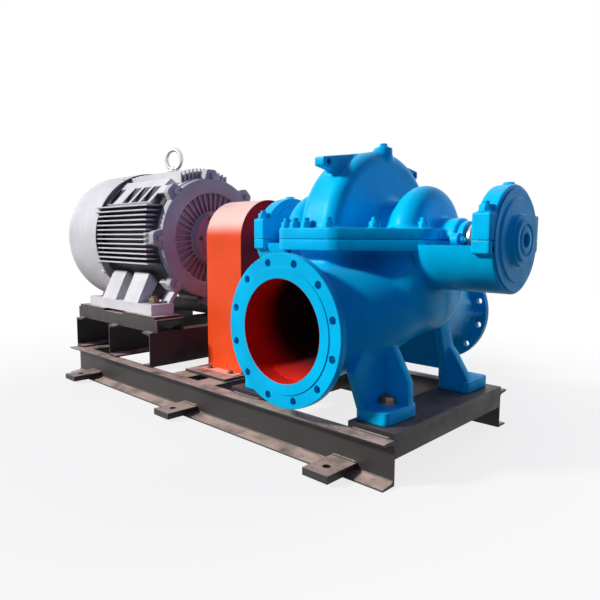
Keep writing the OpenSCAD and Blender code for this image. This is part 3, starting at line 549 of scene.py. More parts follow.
def skin(dist, lo, hi, step):
    """Points and quads on the zero level of dist inside the box lo to hi. Each cell that the level crosses
    gets one point, which a few Newton steps bring onto it without leaving the cell by much."""
    slices, newton_steps, reach = 12, 5, 0.75 * step
    lo = np.array(lo, float)
    n = np.ceil((np.array(hi) - lo) / step).astype(int) + 1
    ax = [lo[i] + step * np.arange(n[i]) for i in range(3)]
    f = np.empty(n, np.float32)
    for i in range(0, n[0], slices):
        f[i:i + slices] = dist(*np.meshgrid(ax[0][i:i + slices], ax[1], ax[2], indexing="ij"))
    inside = f < 0
    a, b, c = n - 1
    count = sum(inside[i:a + i, j:b + j, k:c + k].astype(np.int8)
                for i in (0, 1) for j in (0, 1) for k in (0, 1))
    cells = np.argwhere((count > 0) & (count < 8))
    number = np.full((a, b, c), -1)
    number[tuple(cells.T)] = np.arange(len(cells))
    mid = lo + (cells + 0.5) * step
    p, e = mid.copy(), step * 0.02
    for _ in range(newton_steps):
        g = np.stack([dist(*(p + e * d).T) - dist(*(p - e * d).T) for d in np.eye(3)], 1) / (2 * e)
        p = p - (dist(*p.T) / np.maximum((g * g).sum(1), 0.2))[:, None] * g
        p = np.clip(p, mid - reach, mid + reach)
    quads = []
    for axis in range(3):
        s0, s1 = [slice(None)] * 3, [slice(None)] * 3
        s0[axis], s1[axis] = slice(0, -1), slice(1, None)
        e0, e1 = inside[tuple(s0)], inside[tuple(s1)]
        edges = np.argwhere(e0 != e1)
        u, v = [i for i in range(3) if i != axis]
        within = (edges[:, [u, v]] > 0) & (edges[:, [u, v]] < n[[u, v]] - 1)
        edges = edges[within.all(1)]
        corner = []
        for du, dv in ((-1, -1), (0, -1), (0, 0), (-1, 0)):
            q = edges.copy()
            q[:, u] += du
            q[:, v] += dv
            corner.append(number[tuple(q.T)])
        quad = np.stack(corner, 1)
        flip = e0[tuple(edges.T)] == (axis == 1)
        quad[flip] = quad[flip][:, ::-1]
        quads.append(quad)
    return p, np.concatenate(quads)


# Pump casting
def split_plan(back=0.0):
    """Plan of the split flange, its edge moved in by back."""
    x, y, flat = SPLIT_X - back, SPLIT_Y - back, SPLIT_FLAT - back * 0.41
    end = y - (x - flat)
    corners = [(flat, y), (-flat, y), (-x, end), (-x, -end), (-flat, -y), (flat, -y), (x, -end), (x, end)]
    return rounded_outline(corners, SPLIT_CORNER - back, 8)


def volute(x, y, z):
    return drum(x, y, z, VOLUTE_R, -VOLUTE_W / 2, VOLUTE_W / 2, VOLUTE_ROUND)


# Lifting lug on the front in y and z, and its hole: y, z, radius
LUG_CORNERS = [(-256, 216), (-256, 242), (-100, 266), (-66, 214), (-96, 150), (-180, 160), (-206, 207)]
LUG, LUG_T, LUG_HOLE = rounded_outline(LUG_CORNERS, 5, 3), 40, (-234, 229, 9)
BOSS_X, BOSS_R, BOSS_FOOT, BOSS_TOP = 48, 29, 256, VOLUTE_R + 13


def stuffing(x, y, z):
    return drum(x, y, z, STUFFING_R, STUFFING_DRIVE, STUFFING_OUT, 4)


def upper_shape(x, y, z):
    dome = drum(np.abs(x), y, z, DOME_R, DOME_X - 2 * DOME_ROUND - 2, DOME_X, DOME_ROUND)
    dome = smin(dome, drum(x, y, z, CORE_R, -CORE_X, CORE_X, CORE_ROUND), FILLET["dome"])
    d = smin(volute(x, y, z), dome, FILLET["dome"])
    d = smin(d, drum(z, x - BOSS_X, y, BOSS_R, BOSS_FOOT, BOSS_TOP - 1, 5), FILLET["boss"])
    d = smin(d, slab(-np.abs(y), z, x, LUG, -LUG_T / 2, LUG_T / 2, 6), FILLET["lug"])
    d = smax(d, LUG_HOLE[2] - np.hypot(np.abs(y) + LUG_HOLE[0], z - LUG_HOLE[1]), 2)
    d = smin(d, stuffing(x, y, z), FILLET["stuffing"])
    d = smin(d, slab(x, y, z, split_plan(2), -10, SPLIT_T - UNDER, 3), FILLET["split"])
    return np.maximum(d, 0.5 - z)


# Plates of the legs. Webs are outlines in y and z, ribs in x and z; all stand in the pads of the feet.
LEG_Z = FOOT_Z + 31
FRONT_WEB = [(-300, LEG_Z), (-157, LEG_Z), (-201, -362), (-190, -250), (-270, -250), (-348, -356)]
FRONT_RIB = [(197, LEG_Z), (291, LEG_Z), (288, -398), (244, -318), (215, -275), (190, -275)]
REAR_RIB = [(177, LEG_Z), (291, LEG_Z), (230, -374), (158, -288), (127, -230), (-20, -230), (-20, -436),
            (177, -436)]
REAR_WEB = [(170, LEG_Z), (264, LEG_Z), (190, -330), (150, -230), (90, -230)]
WEB_X0, WEB_X1 = FOOT_X - 52, FOOT_X - 24
# Each plate of a leg: outline, where it starts and ends, and whether it is a rib
LEGS = ((FRONT_WEB, WEB_X0, WEB_X1, False), (FRONT_RIB, -FOOT_IN - 50, -FOOT_IN - 20, True),
        (REAR_WEB, WEB_X0, WEB_X1, False), (REAR_RIB, FOOT_IN + 16, FOOT_IN + 52, True))
NECK_RIB, NECK_RIB_T = [(100, 300), (150, 300), (190, 474), (100, 474)], 18
# The volute's wall stands in both passages with this much over its outside
VOLUTE_OVER = 6


def suction_hole(x, y, z):
    mouth, r, swell_y = SUCTION["z"], SUCTION["bore"], SUCTION["swell"]
    pipe = branch(x, y, z, (SUCTION["face"] - 12, mouth, r, 0), (swell_y + 2, mouth, r, 0))
    swell = branch(x, y, z, (swell_y, mouth, r, 0), SUCTION["hollow"])
    both = np.minimum(np.maximum(pipe, y - swell_y - 6), swell)
    return smax(both, VOLUTE_OVER - volute(x, y, z), FILLET["volute"])


def discharge_hole(x, y, z):
    mouth, r, swell_y = DISCHARGE["z"], DISCHARGE["bore"], DISCHARGE["swell"]
    swell = branch(x, y, z, (swell_y, mouth, r, 0), DISCHARGE["hollow"])
    pipe = np.maximum(np.hypot(x, z - mouth) - r, swell_y - 6 - y)
    return smax(np.minimum(pipe, swell), VOLUTE_OVER - volute(x, y, z), FILLET["volute"])


def branch_wall(x, y, z, f, bulge):
    """Outside of a branch: its neck, and the collar behind its flange."""
    neck = branch(x, y, z, (f["start"], f["z"], f["bore"] + f["wall"], 0), f["wide"], bulge)
    return smin(neck, drum(y, x, z - f["z"], *f["collar"], 1), f["fillet"])


def lower_body(x, y, z):
    chamber = drum(x, y - CHAMBER_Y, z - CHAMBER_Z, CHAMBER_R, -CHAMBER_X, CHAMBER_X, CHAMBER_ROUND)
    d = smin(volute(x, y, z), chamber, FILLET["chamber"])
    d = smin(d, branch_wall(x, y, z, SUCTION, True), FILLET["suction"])
    d = smin(d, branch_wall(x, y, z, DISCHARGE, False), FILLET["discharge"])
    neck_rib = slab(np.abs(x), y, z - DISCHARGE["z"], NECK_RIB, -NECK_RIB_T / 2, NECK_RIB_T / 2, 4)
    d = smin(d, neck_rib, FILLET["neck_rib"])
    d = smin(d, stuffing(x, y, z), FILLET["stuffing"])
    d = smin(d, slab(x, y, z, split_plan(2), -SPLIT_T + UNDER, 10, 3), FILLET["split"])
    root = drum(x, y, z, BRACKET_R - UNDER, -BRACKET_ROOT, BRACKET_ROOT, 2)
    root = np.maximum(root, z - BRACKET_TOP + UNDER)
    past_bore = np.maximum(np.hypot(y, z) - (BRACKET_R - BRACKET_WALL - 4), 0)
    root = np.maximum(root, BRACKET_WEB - BRACKET_WALL - np.abs(x) + past_bore * 50)
    d = smin(d, root, FILLET["bracket"])
    for outline, a0, a1, rib in LEGS:
        u, a = (np.abs(x), y) if rib else (y, np.abs(x))
        d = smin(d, slab(u, z, a, outline, a0, a1, 3) + LEG_UNDER, FILLET["leg"])
    return np.maximum(d, z + 0.5)


def lower_shape(x, y, z):
    hollow = np.minimum(suction_hole(x, y, z), discharge_hole(x, y, z))
    return smax(lower_body(x, y, z), -hollow, 3)


def suction_lining(x, y, z):
    """1 on the faces of the suction passage, which are painted red."""
    return ((y < 0) & (suction_hole(x, y, z) < 4)).astype(np.int32)


def casing(name, shape, lo, hi, step, node, lining=None):
    """Skinned casting. lining tells which faces have the red paint."""
    pts, quads = skin(shape, lo, hi, step)
    mats, index = [MATS["pump_paint"]], None
    if lining:
        mats = mats + [RED_PAINT]
        index = lining(*pts[quads].mean(1).T)
    piece(name, (pts, quads), "pump_paint", mats=mats, index=index, replaces=(node,), angle=50, tidy=False)


casing("lower_casing_body", lower_shape, (-345, -404, -503), (345, 484, 4), 6, "lower_casing", suction_lining)
casing("upper_casing_body", upper_shape, (-345, -292, -4), (345, 292, 300), 4.5, "upper_casing")


def legs():
    """Plates and pads of the four feet, with their edges broken."""
    half = []
    for outline, a0, a1, rib in LEGS:
        half.append(prism(outline, a0, a1, 3.5, (0, 2, 1) if rib else (1, 2, 0), 3))
    x0, x1 = FOOT_X - FOOT_W / 2, FOOT_X + FOOT_W / 2
    for y0, y1 in ((-FOOT_OUT, -FOOT_IN), (FOOT_IN, FOOT_OUT)):
        pad = rounded_outline([(x0, y0), (x1, y0), (x1, y1), (x0, y1)], 18, 6)
        half.append(prism(pad, FOOT_Z, FOOT_Z + FOOT_T, 4, steps=3))
    return merge(*half, *[moved(shape, mirror=(-1, 1, 1)) for shape in half])


piece("pump_feet", legs(), "pump_paint", angle=40)


def split_plate(z0, z1):
    return prism(split_plan(), z0, z1, 2.2, steps=3)


def holed_flange(f, side):
    """Flange with open bolt holes, its raised face and its bore, as three shapes. They are built about z with
    the face up, then turned to look along side."""
    count, n = f["count"], 6
    r0, r1, r2, t, lift = f["bore"], f["od"], f["raised"], f["t"], 3
    pts, faces = [], []
    top, bottom, edge = t - lift, 0.0, 1.6
    half = math.pi / count
    rc = f["pcd"] / 2

    def add(p):
        pts.append(p)
        return len(pts) - 1

    for i in range(count):
        mid = (i + 0.5) * 2 * half
        bound = [(r0, mid - half + 2 * half * k / n) for k in range(n + 1)]
        bound += [(r0 + (r1 - edge - r0) * k / 4, mid + half) for k in (1, 2, 3)]
        bound += [(r1 - edge, mid + half - 2 * half * k / n) for k in range(n + 1)]
        bound += [(r0 + (r1 - edge - r0) * k / 4, mid - half) for k in (3, 2, 1)]
        flat = [(r * math.cos(w), r * math.sin(w)) for r, w in bound]
        cx, cy = rc * math.cos(mid), rc * math.sin(mid)
        hole = []
        for x, y in flat:
            d = math.hypot(x - cx, y - cy)
            hole.append((cx + (x - cx) / d * f["hole"], cy + (y - cy) / d * f["hole"]))
        m = len(flat)
        loops = [[add((x, y, z)) for x, y in loop] for loop in (flat, hole) for z in (top, bottom)]
        for k in range(m):
            j = (k + 1) % m
            faces.append([loops[0][k], loops[0][j], loops[2][j], loops[2][k]])
            faces.append([loops[1][j], loops[1][k], loops[3][k], loops[3][j]])
            faces.append([loops[2][k], loops[2][j], loops[3][j], loops[3][k]])
    rim = lathe([(top, r1 - edge), (top - edge, r1), (edge, r1), (0, r1 - edge)], count * n)
    bore = lathe([(-2, r0 - 0.4), (t - 1, r0 - 0.4), (t - 0.2, r0 + 0.6)], count * n)
    face = ring([(t, r0 + 2), (t, r2 - 1), (t - 1, r2), (top - 1, r2), (top - 1, r0), (t - 2, r0)], 96)
    plate = merge((np.array(pts), faces), rim)
    return [moved(q, (0, f["face"] - side * t, f["z"]), (0, side, 0)) for q in (plate, face, bore)]


def welded(name, shape, slot):
    """Piece with its doubled points joined, so that its normals can be made to agree."""
    o = piece(name, shape, slot, tidy=False)
    bm = bmesh.new()
    bm.from_mesh(o.data)
    bmesh.ops.remove_doubles(bm, verts=bm.verts, dist=1e-5)
    bmesh.ops.recalc_face_normals(bm, faces=bm.faces)
    bm.to_mesh(o.data)
    bm.free()
    o.data.shade_smooth()
    o.data.set_sharp_from_angle(angle=math.radians(30))


piece("split_flange_lower", split_plate(-SPLIT_T, -0.4), "pump_paint")
piece("split_flange_upper", split_plate(0.4, SPLIT_T), "pump_paint")
for name, f, side in (("suction", SUCTION, -1), ("discharge", DISCHARGE, 1)):
    plate, face, bore = holed_flange(f, side)
    welded(name + "_flange", plate, "pump_paint")
    piece(name + "_raised_face", face, "pump_paint")
    lining = RED_PAINT if side < 0 else MATS["pump_paint"]
    piece(name + "_bore", bore, "pump_paint", mats=[lining], tidy=False)


# Bearing brackets, caps and covers
def arc(r, a0, a1, n):
    angles = [a0 + (a1 - a0) * k / n for k in range(n + 1)]
    return [(r * math.cos(w), r * math.sin(w)) for w in angles]


def trough(x0, x1):
    """Half pipe that carries a bearing, with flat top edges."""
    r0 = BRACKET_R - BRACKET_WALL
    a, b = math.asin(BRACKET_TOP / BRACKET_R), math.asin(BRACKET_TOP / r0)
    outline = arc(BRACKET_R, math.pi - a, 2 * math.pi + a, 48) + arc(r0, 2 * math.pi + b, math.pi - b, 40)
    return prism(outline, x0, x1, 3, (1, 2, 0), 3)


brackets = merge(trough(BRACKET_IN, OUTER_END), trough(DRIVE_END, -BRACKET_IN))
piece("bearing_brackets", brackets, "pump_paint")

EAR_Y, EAR_Z, EAR_DROP, CAP_R = 160, 71, 36, BRACKET_R + 2


def cap_shape(x, y, z):
    """Bearing cap with its outer end at x = 0 and its inner end at x = -BEARING_W."""
    d = drum(x, y, z, CAP_R, -BEARING_W, 0, 6)
    d = smin(d, block(x, np.abs(y), z, -BEARING_W, 0, 60, EAR_Y, -60, EAR_Z, 6), 7)
    d = smin(d, drum(z, x + BEARING_W / 2, y, 15, 100, CAP_R + 7, 3), 8)
    d = smax(d, BRACKET_R - BRACKET_WALL - np.hypot(y, z), 3)
    return smax(d, 0.6 - z, 2)


def seat_shape(x, y, z):
    """Ears of the bracket under those of the cap."""
    d = block(x, np.abs(y), z, -BEARING_W, 0, 100, EAR_Y, -EAR_DROP, 20, 6)
    d = smax(d, BRACKET_R - BRACKET_WALL - np.hypot(y, z), 2)
    return smax(d, z + 0.6, 2)


def bearing_casting(name, dist, z0, z1, x, side, replaces=()):
    """Casting between the heights z0 and z1, with its outer end at x; side mirrors it for the drive end."""
    pts, quads = skin(dist, (-BEARING_W - 4, -EAR_Y - 4, z0), (4, EAR_Y + 4, z1), 3)
    shape = moved((pts, [list(q) for q in quads]), (x, 0, 0), mirror=(side, 1, 1))
    piece(name, shape, "pump_paint", replaces=replaces, angle=50)


for end, x, side in (("outer", OUTER_END, 1), ("drive", DRIVE_END, -1)):
    cap = end + "_bearing_cap"
    bearing_casting(cap + "_body", cap_shape, -4, CAP_R + 12, x, side, (cap,))
    bearing_casting(end + "_bearing_seat", seat_shape, -EAR_DROP - 4, 4, x, side)

# Cover of the outer bearing: how far out, radius
COVER = [(-1, 0), (-1, 137), (3.5, 139), (5, 137.5), (5, 115), (8, 114), (10, 112), (10, 74), (12, 71.5),
         (20, 70), (22, 68), (22, 59.5), (28, 58), (30, 56), (30, 45), (26, 43), (25, 41), (26, 39), (29, 36),
         (30, 34), (30, 22), (28.5, 20), (14, 19), (14, 0)]
piece("outer_bearing_cover_body", moved(lathe(COVER, 96), (OUTER_END, 0, 0), (1, 0, 0)), "pump_paint",
      replaces=("outer_bearing_cover",), angle=28)


# Pump fasteners
SPLIT_NUTS = [(-105, -285), (-60, -294), (-15, -294), (70, -293), (170, -208), (268, -110), (-172, -208),
              (-268, -110)]
CAP_STUD_Y, GLAND_STUD_Y, GLAND_T, FOOT_BOLT_X, FOOT_BOLT_Y = 136, 62, 20, FOOT_X - 6, -212
nuts = [moved(stud(19, 4, 12), (x, s * y, SPLIT_T)) for x, y in SPLIT_NUTS for s in (1, -1)]
for x in (OUTER_END - BEARING_W / 2, DRIVE_END + BEARING_W / 2):
    nuts += [moved(stud(20, 4, 9), (x, s * CAP_STUD_Y, EAR_Z)) for s in (1, -1)]
for x, side in ((STUFFING_OUT + GLAND_T, 1), (STUFFING_DRIVE - GLAND_T, -1)):
    nuts += [moved(stud(12, 30, 6), (x, s * GLAND_STUD_Y, 0), (side, 0, 0)) for s in (1, -1)]
piece("casing_nuts", merge(*nuts), "pump_paint")

feet = [moved(bolt(24, 0.4), (s * FOOT_BOLT_X, FOOT_BOLT_Y, FOOT_Z + FOOT_T)) for s in (1, -1)]
piece("foot_bolts", merge(*feet), "zinc_steel", mats=[BOLT_STEEL])

plug = merge(lathe([(-4, 0), (-4, 16), (3, 16), (4, 15), (4, 0)], 32), moved(nut(21, 8), (0, 0, 4)))
piece("vent_plug_body", moved(plug, (BOSS_X, 0, BOSS_TOP)), "zinc_steel", mats=[MATS["pump_paint"]],
      replaces=("vent_plug",))


# Motor
def corner(node):
    """Low corner and size of a node, in millimetres."""
    lo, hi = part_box(node)
    return np.array(lo) / MM, np.array(hi - lo) / MM


SHIELD_T, SHIELD_R, SHIELD_BORE, RIB_R0, RIB_R1, RIBS = 40, 258, 44, 116, 194, 40
EAR_R, EAR_BOLT_R, EAR_T, EARS = 296, 268, SHIELD_T - 6, 8
SHIELD_AT = Vector((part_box("drive_end_shield")[0].x, 0, SHAFT_Z))


def motor_shield():
    """Shield about z, its outer face up: a rim, a sunk ring crossed by ribs, a hub seat and eight ears."""
    t, deep = SHIELD_T, SHIELD_T - 16
    disc = ring([(0, SHIELD_BORE), (0, SHIELD_R), (t - 4, SHIELD_R), (t - 1, SHIELD_R - 2), (t, SHIELD_R - 5),
                 (t, RIB_R1 + 3), (t - 2, RIB_R1), (deep, RIB_R1 - 2), (deep, RIB_R0 + 2), (t - 2, RIB_R0),
                 (t, RIB_R0 - 3), (t, SHIELD_BORE)], 128)
    rib = prism([(RIB_R0 - 3, -3), (RIB_R1 + 3, -3), (RIB_R1 + 3, 3), (RIB_R0 - 3, 3)], deep - 2, t - 2, 1.2)
    ear = rounded_outline([(-46, 226), (46, 226), (25, EAR_R), (-25, EAR_R)], [2, 2, 17, 17], 6)
    ear = prism(ear, 0, EAR_T, 3, steps=3)
    ribs = [moved(rib, spin=2 * math.pi * (k + 0.5) / RIBS) for k in range(RIBS)]
    ears = [moved(ear, spin=w) for w in turns(EARS)]
    return merge(disc, *ribs, *ears)


piece("drive_end_shield_body", moved(motor_shield(), axis=(1, 0, 0)), "motor_paint", SHIELD_AT, [SHADED_SHIELD_GREY],
      replaces=("drive_end_shield",), angle=30)
ear_bolts = bolt_circle(EARS, 14, (0, EAR_BOLT_R, EAR_T), 0.2)
piece("shield_bolts", moved(ear_bolts, axis=(1, 0, 0)), "zinc_steel", SHIELD_AT, [SHADED_SHIELD_GREY])

cowl_lo, cowl_size = corner("fan_cowl")
COWL_R, COWL_SCREW_IN = cowl_size[1] / 2, 14
COWL_AT = Vector(((cowl_lo[0] + cowl_size[0] - COWL_SCREW_IN) * MM, 0, SHAFT_Z))
screws = []
for a in (-30, 60, 150, 240):
    out = Vector((0, -math.cos(math.radians(a)), math.sin(math.radians(a))))
    screws.append(moved(bolt(9, 0.3), tuple(out * (COWL_R - 0.5)), out))
piece("cowl_screws", merge(*screws), "zinc_steel", COWL_AT)

MFOOT_X, MFOOT_Y, MFOOT_TOP = 203, 246, -272
hold = []
for x in (-MFOOT_X, MFOOT_X):
    for s in (1, -1):
        hold.append(moved(merge(bolt(26, 0.5 * x), rod(13, 0, 30)), (x, s * MFOOT_Y, MFOOT_TOP)))
piece("motor_foot_bolts", merge(*hold), "zinc_steel", MOTOR, [BOLT_STEEL])

eye_lo, eye_size = corner("motor_eyebolt")
EYE_T, EYE_TURN = 19, math.radians(15)
EYE_R = eye_size[0] / math.cos(EYE_TURN) / 2 - EYE_T / 2
EYE_AT = Vector((middle("motor_eyebolt").x, 0, eye_lo[2] * MM))


def eyebolt():
    loop = [(EYE_T / 2 * math.sin(w), EYE_R + EYE_T / 2 * math.cos(w)) for w in turns(16)]
    eye = moved(moved(ring(loop, 64), axis=(0, 1, 0)), spin=EYE_TURN)
    stem = lathe([(0, 0), (0, 27), (2, 28), (7, 28), (10, 25), (12, 18), (15, 14.5), (24, 12), (24, 0)], 32)
    return merge(moved(eye, (0, 0, eye_size[2] - EYE_R - EYE_T / 2)), stem)


piece("motor_eyebolt_body", eyebolt(), "zinc_steel", EYE_AT, replaces=("motor_eyebolt",), angle=50)

hub_lo, hub_size = corner("drive_end_hub")
HUB_STEP, HUB_BOLT_R = 22, hub_size[1] / 2 - 10
HUB_AT = Vector(((hub_lo[0] + hub_size[0] - HUB_STEP) * MM, 0, SHAFT_Z))
hub_bolts = bolt_circle(6, 9, (HUB_BOLT_R, 0, 0), 0.3, 0.5)
piece("hub_bolts", moved(hub_bolts, axis=(1, 0, 0)), "zinc_steel", HUB_AT, [BOLT_STEEL])


def panel(lo, size, r, bevel):
    """Box with rounded corners, its face towards +Y."""
    x, z, w, h = lo[0], lo[2], size[0], size[2]
    outline = rounded_outline([(x, z), (x + w, z), (x + w, z + h), (x, z + h)], r, 5)
    return prism(outline, lo[1], lo[1] + size[1], bevel, (0, 2, 1), 3)


GLAND_DROP = np.array((0, 0, 30))
box_lo, box_size = corner("terminal_box")
gland_at = (box_lo[0] + box_size[0] / 2, box_lo[1] + 47, box_lo[2] + 32)
cable_gland = merge(nut(60, 12), rod(27, 10, 20, 2, 32), moved(nut(52, 11), (0, 0, 20), spin=0.3))
terminal_box = panel(box_lo + GLAND_DROP, box_size - GLAND_DROP, 12, 3)
terminal_box = merge(terminal_box, moved(cable_gland, gland_at, (0, 0, -1)))
piece("terminal_box_body", terminal_box, "motor_paint", GROUND, [SMOOTH_GREY],
      replaces=("terminal_box",), angle=30)
lid_lo, lid_size = corner("terminal_box_lid")
piece("terminal_lid_body", panel(lid_lo, lid_size, 16, 5), "motor_paint", GROUND, [SMOOTH_GREY],
      replaces=("terminal_box_lid",), angle=30)
lid_screws = []
for u in (0.08, 0.92):
    for v in (0.08, 0.92):
        at = lid_lo + lid_size * (u, 1, v)
        lid_screws.append(moved(bolt(10, 0.4), at, (0, 1, 0)))
piece("terminal_lid_screws", merge(*lid_screws), "zinc_steel", GROUND)


# Base frame: rolled channels with tapered flanges and rounded toes, and weld beads
def channel_outline(h, b, web=5.5, flange=9):
    toe, root = flange * 0.72, flange * 1.25
    pts = [(0, 0), (b, 0), (b, toe), (web, root), (web, h - root), (b, h - toe), (b, h), (0, h)]
    return rounded_outline(pts, [1.2, 1, 4.5, 9, 9, 4.5, 1, 1.2], 4)


def channel(lo, size, along, back, side):
    """Channel that fills the box. Its web is on the low (side -1) or high (side 1) face across axis back."""
    up = 3 - along - back
    shape = prism(channel_outline(size[up], size[back]), 0, size[along], 0.8, (back, up, along), 1)
    mirror = [1, 1, 1]
    if side > 0:
        mirror[back] = -1
    at = np.array(lo, float)
    if side > 0:
        at[back] += size[back]
    return moved(shape, at, mirror=mirror)


def ends(node, axis, width):
    """The two boxes of the given width at both ends of a node along axis."""
    lo, size = corner(node)
    one = size.copy()
    one[axis] = width
    far = lo.copy()
    far[axis] += size[axis] - width
    return (lo, one), (far, one)


def channels(node, boxes, along, back, side, mats=None):
    """The channels of a node, one in each box."""
    shapes = [channel(lo, size, along, back, side) for lo, size in boxes]
    piece(node + "_channel", merge(*shapes), "base_paint", GROUND, mats, replaces=(node,), angle=40)


BEAM_W, GUARD_BEAM_W = corner("motor_end_crossbeam")[1][0], 100
RISERS = (("motor_riser_outer", -1), ("motor_riser_middle", -1), ("motor_riser_inner", 1))
for node, side in (("front_rail", 1), ("rear_rail", -1)):
    channels(node, [corner(node)], 0, 1, side)
channels("pump_crossbeams", ends("pump_crossbeams", 0, BEAM_W), 1, 2, 1, [SHADED_BASE])
channels("guard_crossbeams", ends("guard_crossbeams", 0, GUARD_BEAM_W), 1, 2, 1)
channels("motor_end_crossbeam", [corner("motor_end_crossbeam")], 1, 2, 1)
for node, side in RISERS:
    channels(node, [corner(node)], 1, 0, side)
channels("motor_beams", ends("motor_beams", 1, BEAM_W), 0, 2, 1)


def bead(a, b, r):
    """Weld bead from a to b with the ripples of its runs."""
    a, b = np.array(a, float), np.array(b, float)
    length = np.linalg.norm(b - a)
    ahead = (b - a) / length
    side = np.cross(ahead, (0, 0, 1.0)) if abs(ahead[2]) < 0.9 else np.array((1.0, 0, 0))
    side /= np.linalg.norm(side)
    over = np.cross(side, ahead)
    steps = max(8, int(length / 3))
    pts, n = [], 8
    for i in range(steps + 1):
        t = i / steps
        grow = min(1.0, 0.35 + min(t, 1 - t) * length / r * 0.5)
        rr = r * grow * (1 + 0.13 * math.sin(i * 1.9) + 0.06 * math.sin(i * 0.7 + length))
        for w in turns(n):
            pts.append(a + ahead * (t * length) + rr * (side * math.cos(w) + over * math.sin(w)))
    return np.array(pts), tube(n, steps + 1)


rail_lo, rail_size = corner("rear_rail")
anchor_lo, anchor_size = corner("rear_anchor_lugs")
beam_lo, beam_size = corner("motor_beams")
sole_lo, sole_size = corner("pump_sole_plates")
RAIL_IN, RAIL_TOP, RAIL_OUT = rail_lo[1], rail_size[2], rail_lo[1] + rail_size[1]
ANCHOR_Y, ANCHOR_Z, ANCHOR_TOP, ANCHOR_W = anchor_lo[1], anchor_lo[2], anchor_lo[2] + anchor_size[2], 90
ANCHOR_X = -anchor_lo[0] - ANCHOR_W / 2
BEAM_Y, SOLE_Y, SOLE_W, SOLE_END = beam_lo[1] + beam_size[1], sole_lo[1] + sole_size[1], 154, 12
beads = []
for s in (1, -1):
    for x in (-ANCHOR_X, 0, ANCHOR_X):
        x0, x1 = x - ANCHOR_W / 2, x + ANCHOR_W / 2
        beads.append(bead((x0, s * ANCHOR_Y, ANCHOR_TOP), (x1, s * ANCHOR_Y, ANCHOR_TOP), 5))
        for end in (x0, x1):
            beads.append(bead((end, s * ANCHOR_Y, ANCHOR_Z), (end, s * (RAIL_OUT - 2), ANCHOR_Z), 4))
    for node, _ in RISERS:
        lo, size = corner(node)
        x0, reach, top = lo + (0, size[1], size[2])
        x1 = x0 + size[0]
        for x in (x0, x1):
            beads.append(bead((x, s * RAIL_IN, RAIL_TOP), (x, s * (reach - 2), RAIL_TOP), 4))
        beads.append(bead((x0, s * BEAM_Y, top), (x1, s * BEAM_Y, top), 4))
    for x in (sole_lo[0], sole_lo[0] + sole_size[0] - SOLE_W):
        x0, x1 = x + SOLE_END, x + SOLE_W - SOLE_END
        beads.append(bead((x0, s * SOLE_Y, RAIL_TOP), (x1, s * SOLE_Y, RAIL_TOP), 4.5))
piece("base_welds", merge(*beads), "base_paint", GROUND, angle=60)

guard_lo, guard_size = corner("coupling_guard")
LIP_Y, LIP_TOP, LIP_BOLT_IN = guard_lo[1] + 20, guard_lo[2] + 3, 40
guard_bolts = []
for s in (1, -1):
    for x in (guard_lo[0] + LIP_BOLT_IN, guard_lo[0] + guard_size[0] - LIP_BOLT_IN):
        guard_bolts.append(moved(bolt(12, 0.7), (x, s * LIP_Y, LIP_TOP)))
piece("guard_bolts", merge(*guard_bolts), "zinc_steel", GROUND, [BOLT_STEEL])


# Floor, light and camera
MIRROR_RAYS = ("Is Glossy Ray", "Is Transmission Ray")


def floor_material():
    """Pale floor that keeps the shadow near the object and goes to white away from it."""
    s = Shader("floor")
    ray = s.add("ShaderNodeLightPath").outputs
    shown = ray["Is Camera Ray"]
    for kind in MIRROR_RAYS:
        shown = s.math("MAXIMUM", shown, ray[kind])
    s.set(base_color=s.mix(shown, (0.06, 0.06, 0.07), (0.62, 0.62, 0.63)), roughness=0.9)
    far = s.add("ShaderNodeVectorMath", s.coord, operation="LENGTH").outputs["Value"]
    seen = s.math("MULTIPLY", shown, s.add("ShaderNodeMapRange", far, 0.9, 2.2, 0.80, 1.0).outputs[0])
    glow = s.add("ShaderNodeEmission", (1, 1, 1, 1)).outputs[0]
    blend = s.add("ShaderNodeMixShader", seen, s.bsdf.outputs[0], glow)
    s.tree.links.new(blend.outputs[0], s.tree.nodes["Material Output"].inputs[0])
    return s.mat


bpy.ops.mesh.primitive_plane_add(size=60, location=(0, 0, 0))
floor = bpy.context.object
floor.name = "floor"
floor.data.materials.append(floor_material())
floor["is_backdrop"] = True


def sun(name, toward, power, color, spread):
    """Sun lamp that shines from the direction toward."""
    d = bpy.data.lights.new(name, "SUN")
    d.energy, d.color, d.angle = power, color, math.radians(spread)
    o = bpy.data.objects.new(name, d)
    scene.collection.objects.link(o)
    o.location = Vector(toward) * 4
    o.rotation_mode = "QUATERNION"
    o.rotation_quaternion = (-Vector(toward)).to_track_quat("-Z", "Y")
    return o


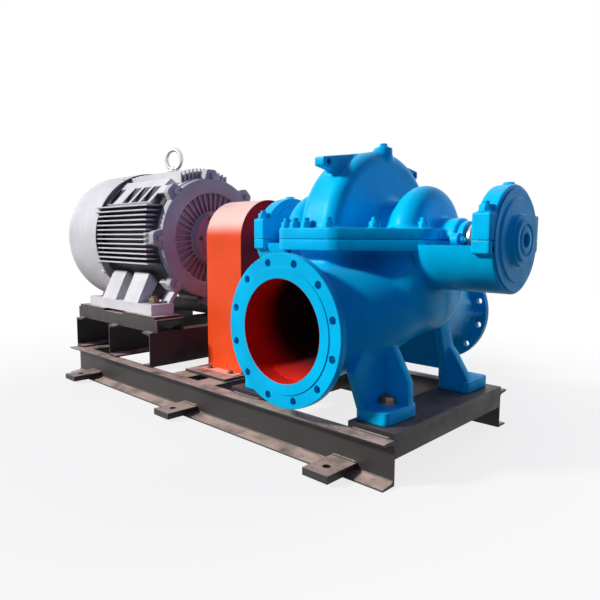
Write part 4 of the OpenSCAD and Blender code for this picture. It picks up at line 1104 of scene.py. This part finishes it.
sun("key", toward=(-0.54, -0.68, 0.50), power=3.75, color=(1.0, 0.99, 0.94), spread=8)
fill = sun("fill", toward=(0.06, 0.94, 0.34), power=1.7, color=(0.98, 0.98, 1.0), spread=40)
fill.visible_glossy = False

world = bpy.data.worlds.new("studio")
world.use_nodes = True
t = world.node_tree
back = t.nodes["Background"]
SKY, SKY_LEVEL, WHITE = (0.82, 0.64, 1.95, 1), 0.13, (1, 1, 1, 1)
ray = t.nodes.new("ShaderNodeLightPath")
seen = ray.outputs["Is Camera Ray"]
for kind in MIRROR_RAYS:
    both = t.nodes.new("ShaderNodeMath")
    both.operation = "MAXIMUM"
    t.links.new(seen, both.inputs[0])
    t.links.new(ray.outputs[kind], both.inputs[1])
    seen = both.outputs[0]
level = t.nodes.new("ShaderNodeMapRange")
level.inputs["To Min"].default_value = SKY_LEVEL
t.links.new(seen, level.inputs["Value"])
t.links.new(level.outputs[0], back.inputs[1])
tint = t.nodes.new("ShaderNodeMix")
tint.data_type = "RGBA"
tint.inputs[6].default_value = SKY
tint.inputs[7].default_value = WHITE
t.links.new(seen, tint.inputs[0])
t.links.new(tint.outputs[2], back.inputs[0])
scene.world = world
scene.view_settings.view_transform = "Standard"

# Camera solved from the photograph
FOCAL_PX, IMAGE_PX, SENSOR = 550.47, 600, 36
CAMERA_AT, CAMERA_TURN = (1.6761, -1.4957, 0.6465), (43.504, 6.367, 0.316)
az, pitch, roll = (math.radians(a) for a in CAMERA_TURN)
ahead = Vector((-math.sin(az), math.cos(az), 0))
right = Vector((ahead.y, -ahead.x, 0))
look = ahead * math.cos(pitch) + Vector((0, 0, -math.sin(pitch)))
up = right.cross(look)
across = right * math.cos(roll) + up * math.sin(roll)
upright = -right * math.sin(roll) + up * math.cos(roll)
cam = bpy.data.objects.new("camera", bpy.data.cameras.new("camera"))
scene.collection.objects.link(cam)
cam.matrix_world = Matrix((across, upright, -look)).transposed().to_4x4()
cam.location = CAMERA_AT
cam.data.sensor_width = SENSOR
cam.data.lens = SENSOR * FOCAL_PX / IMAGE_PX
cam.data.clip_start, cam.data.clip_end = 0.05, 100
scene.camera = cam

lo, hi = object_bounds()
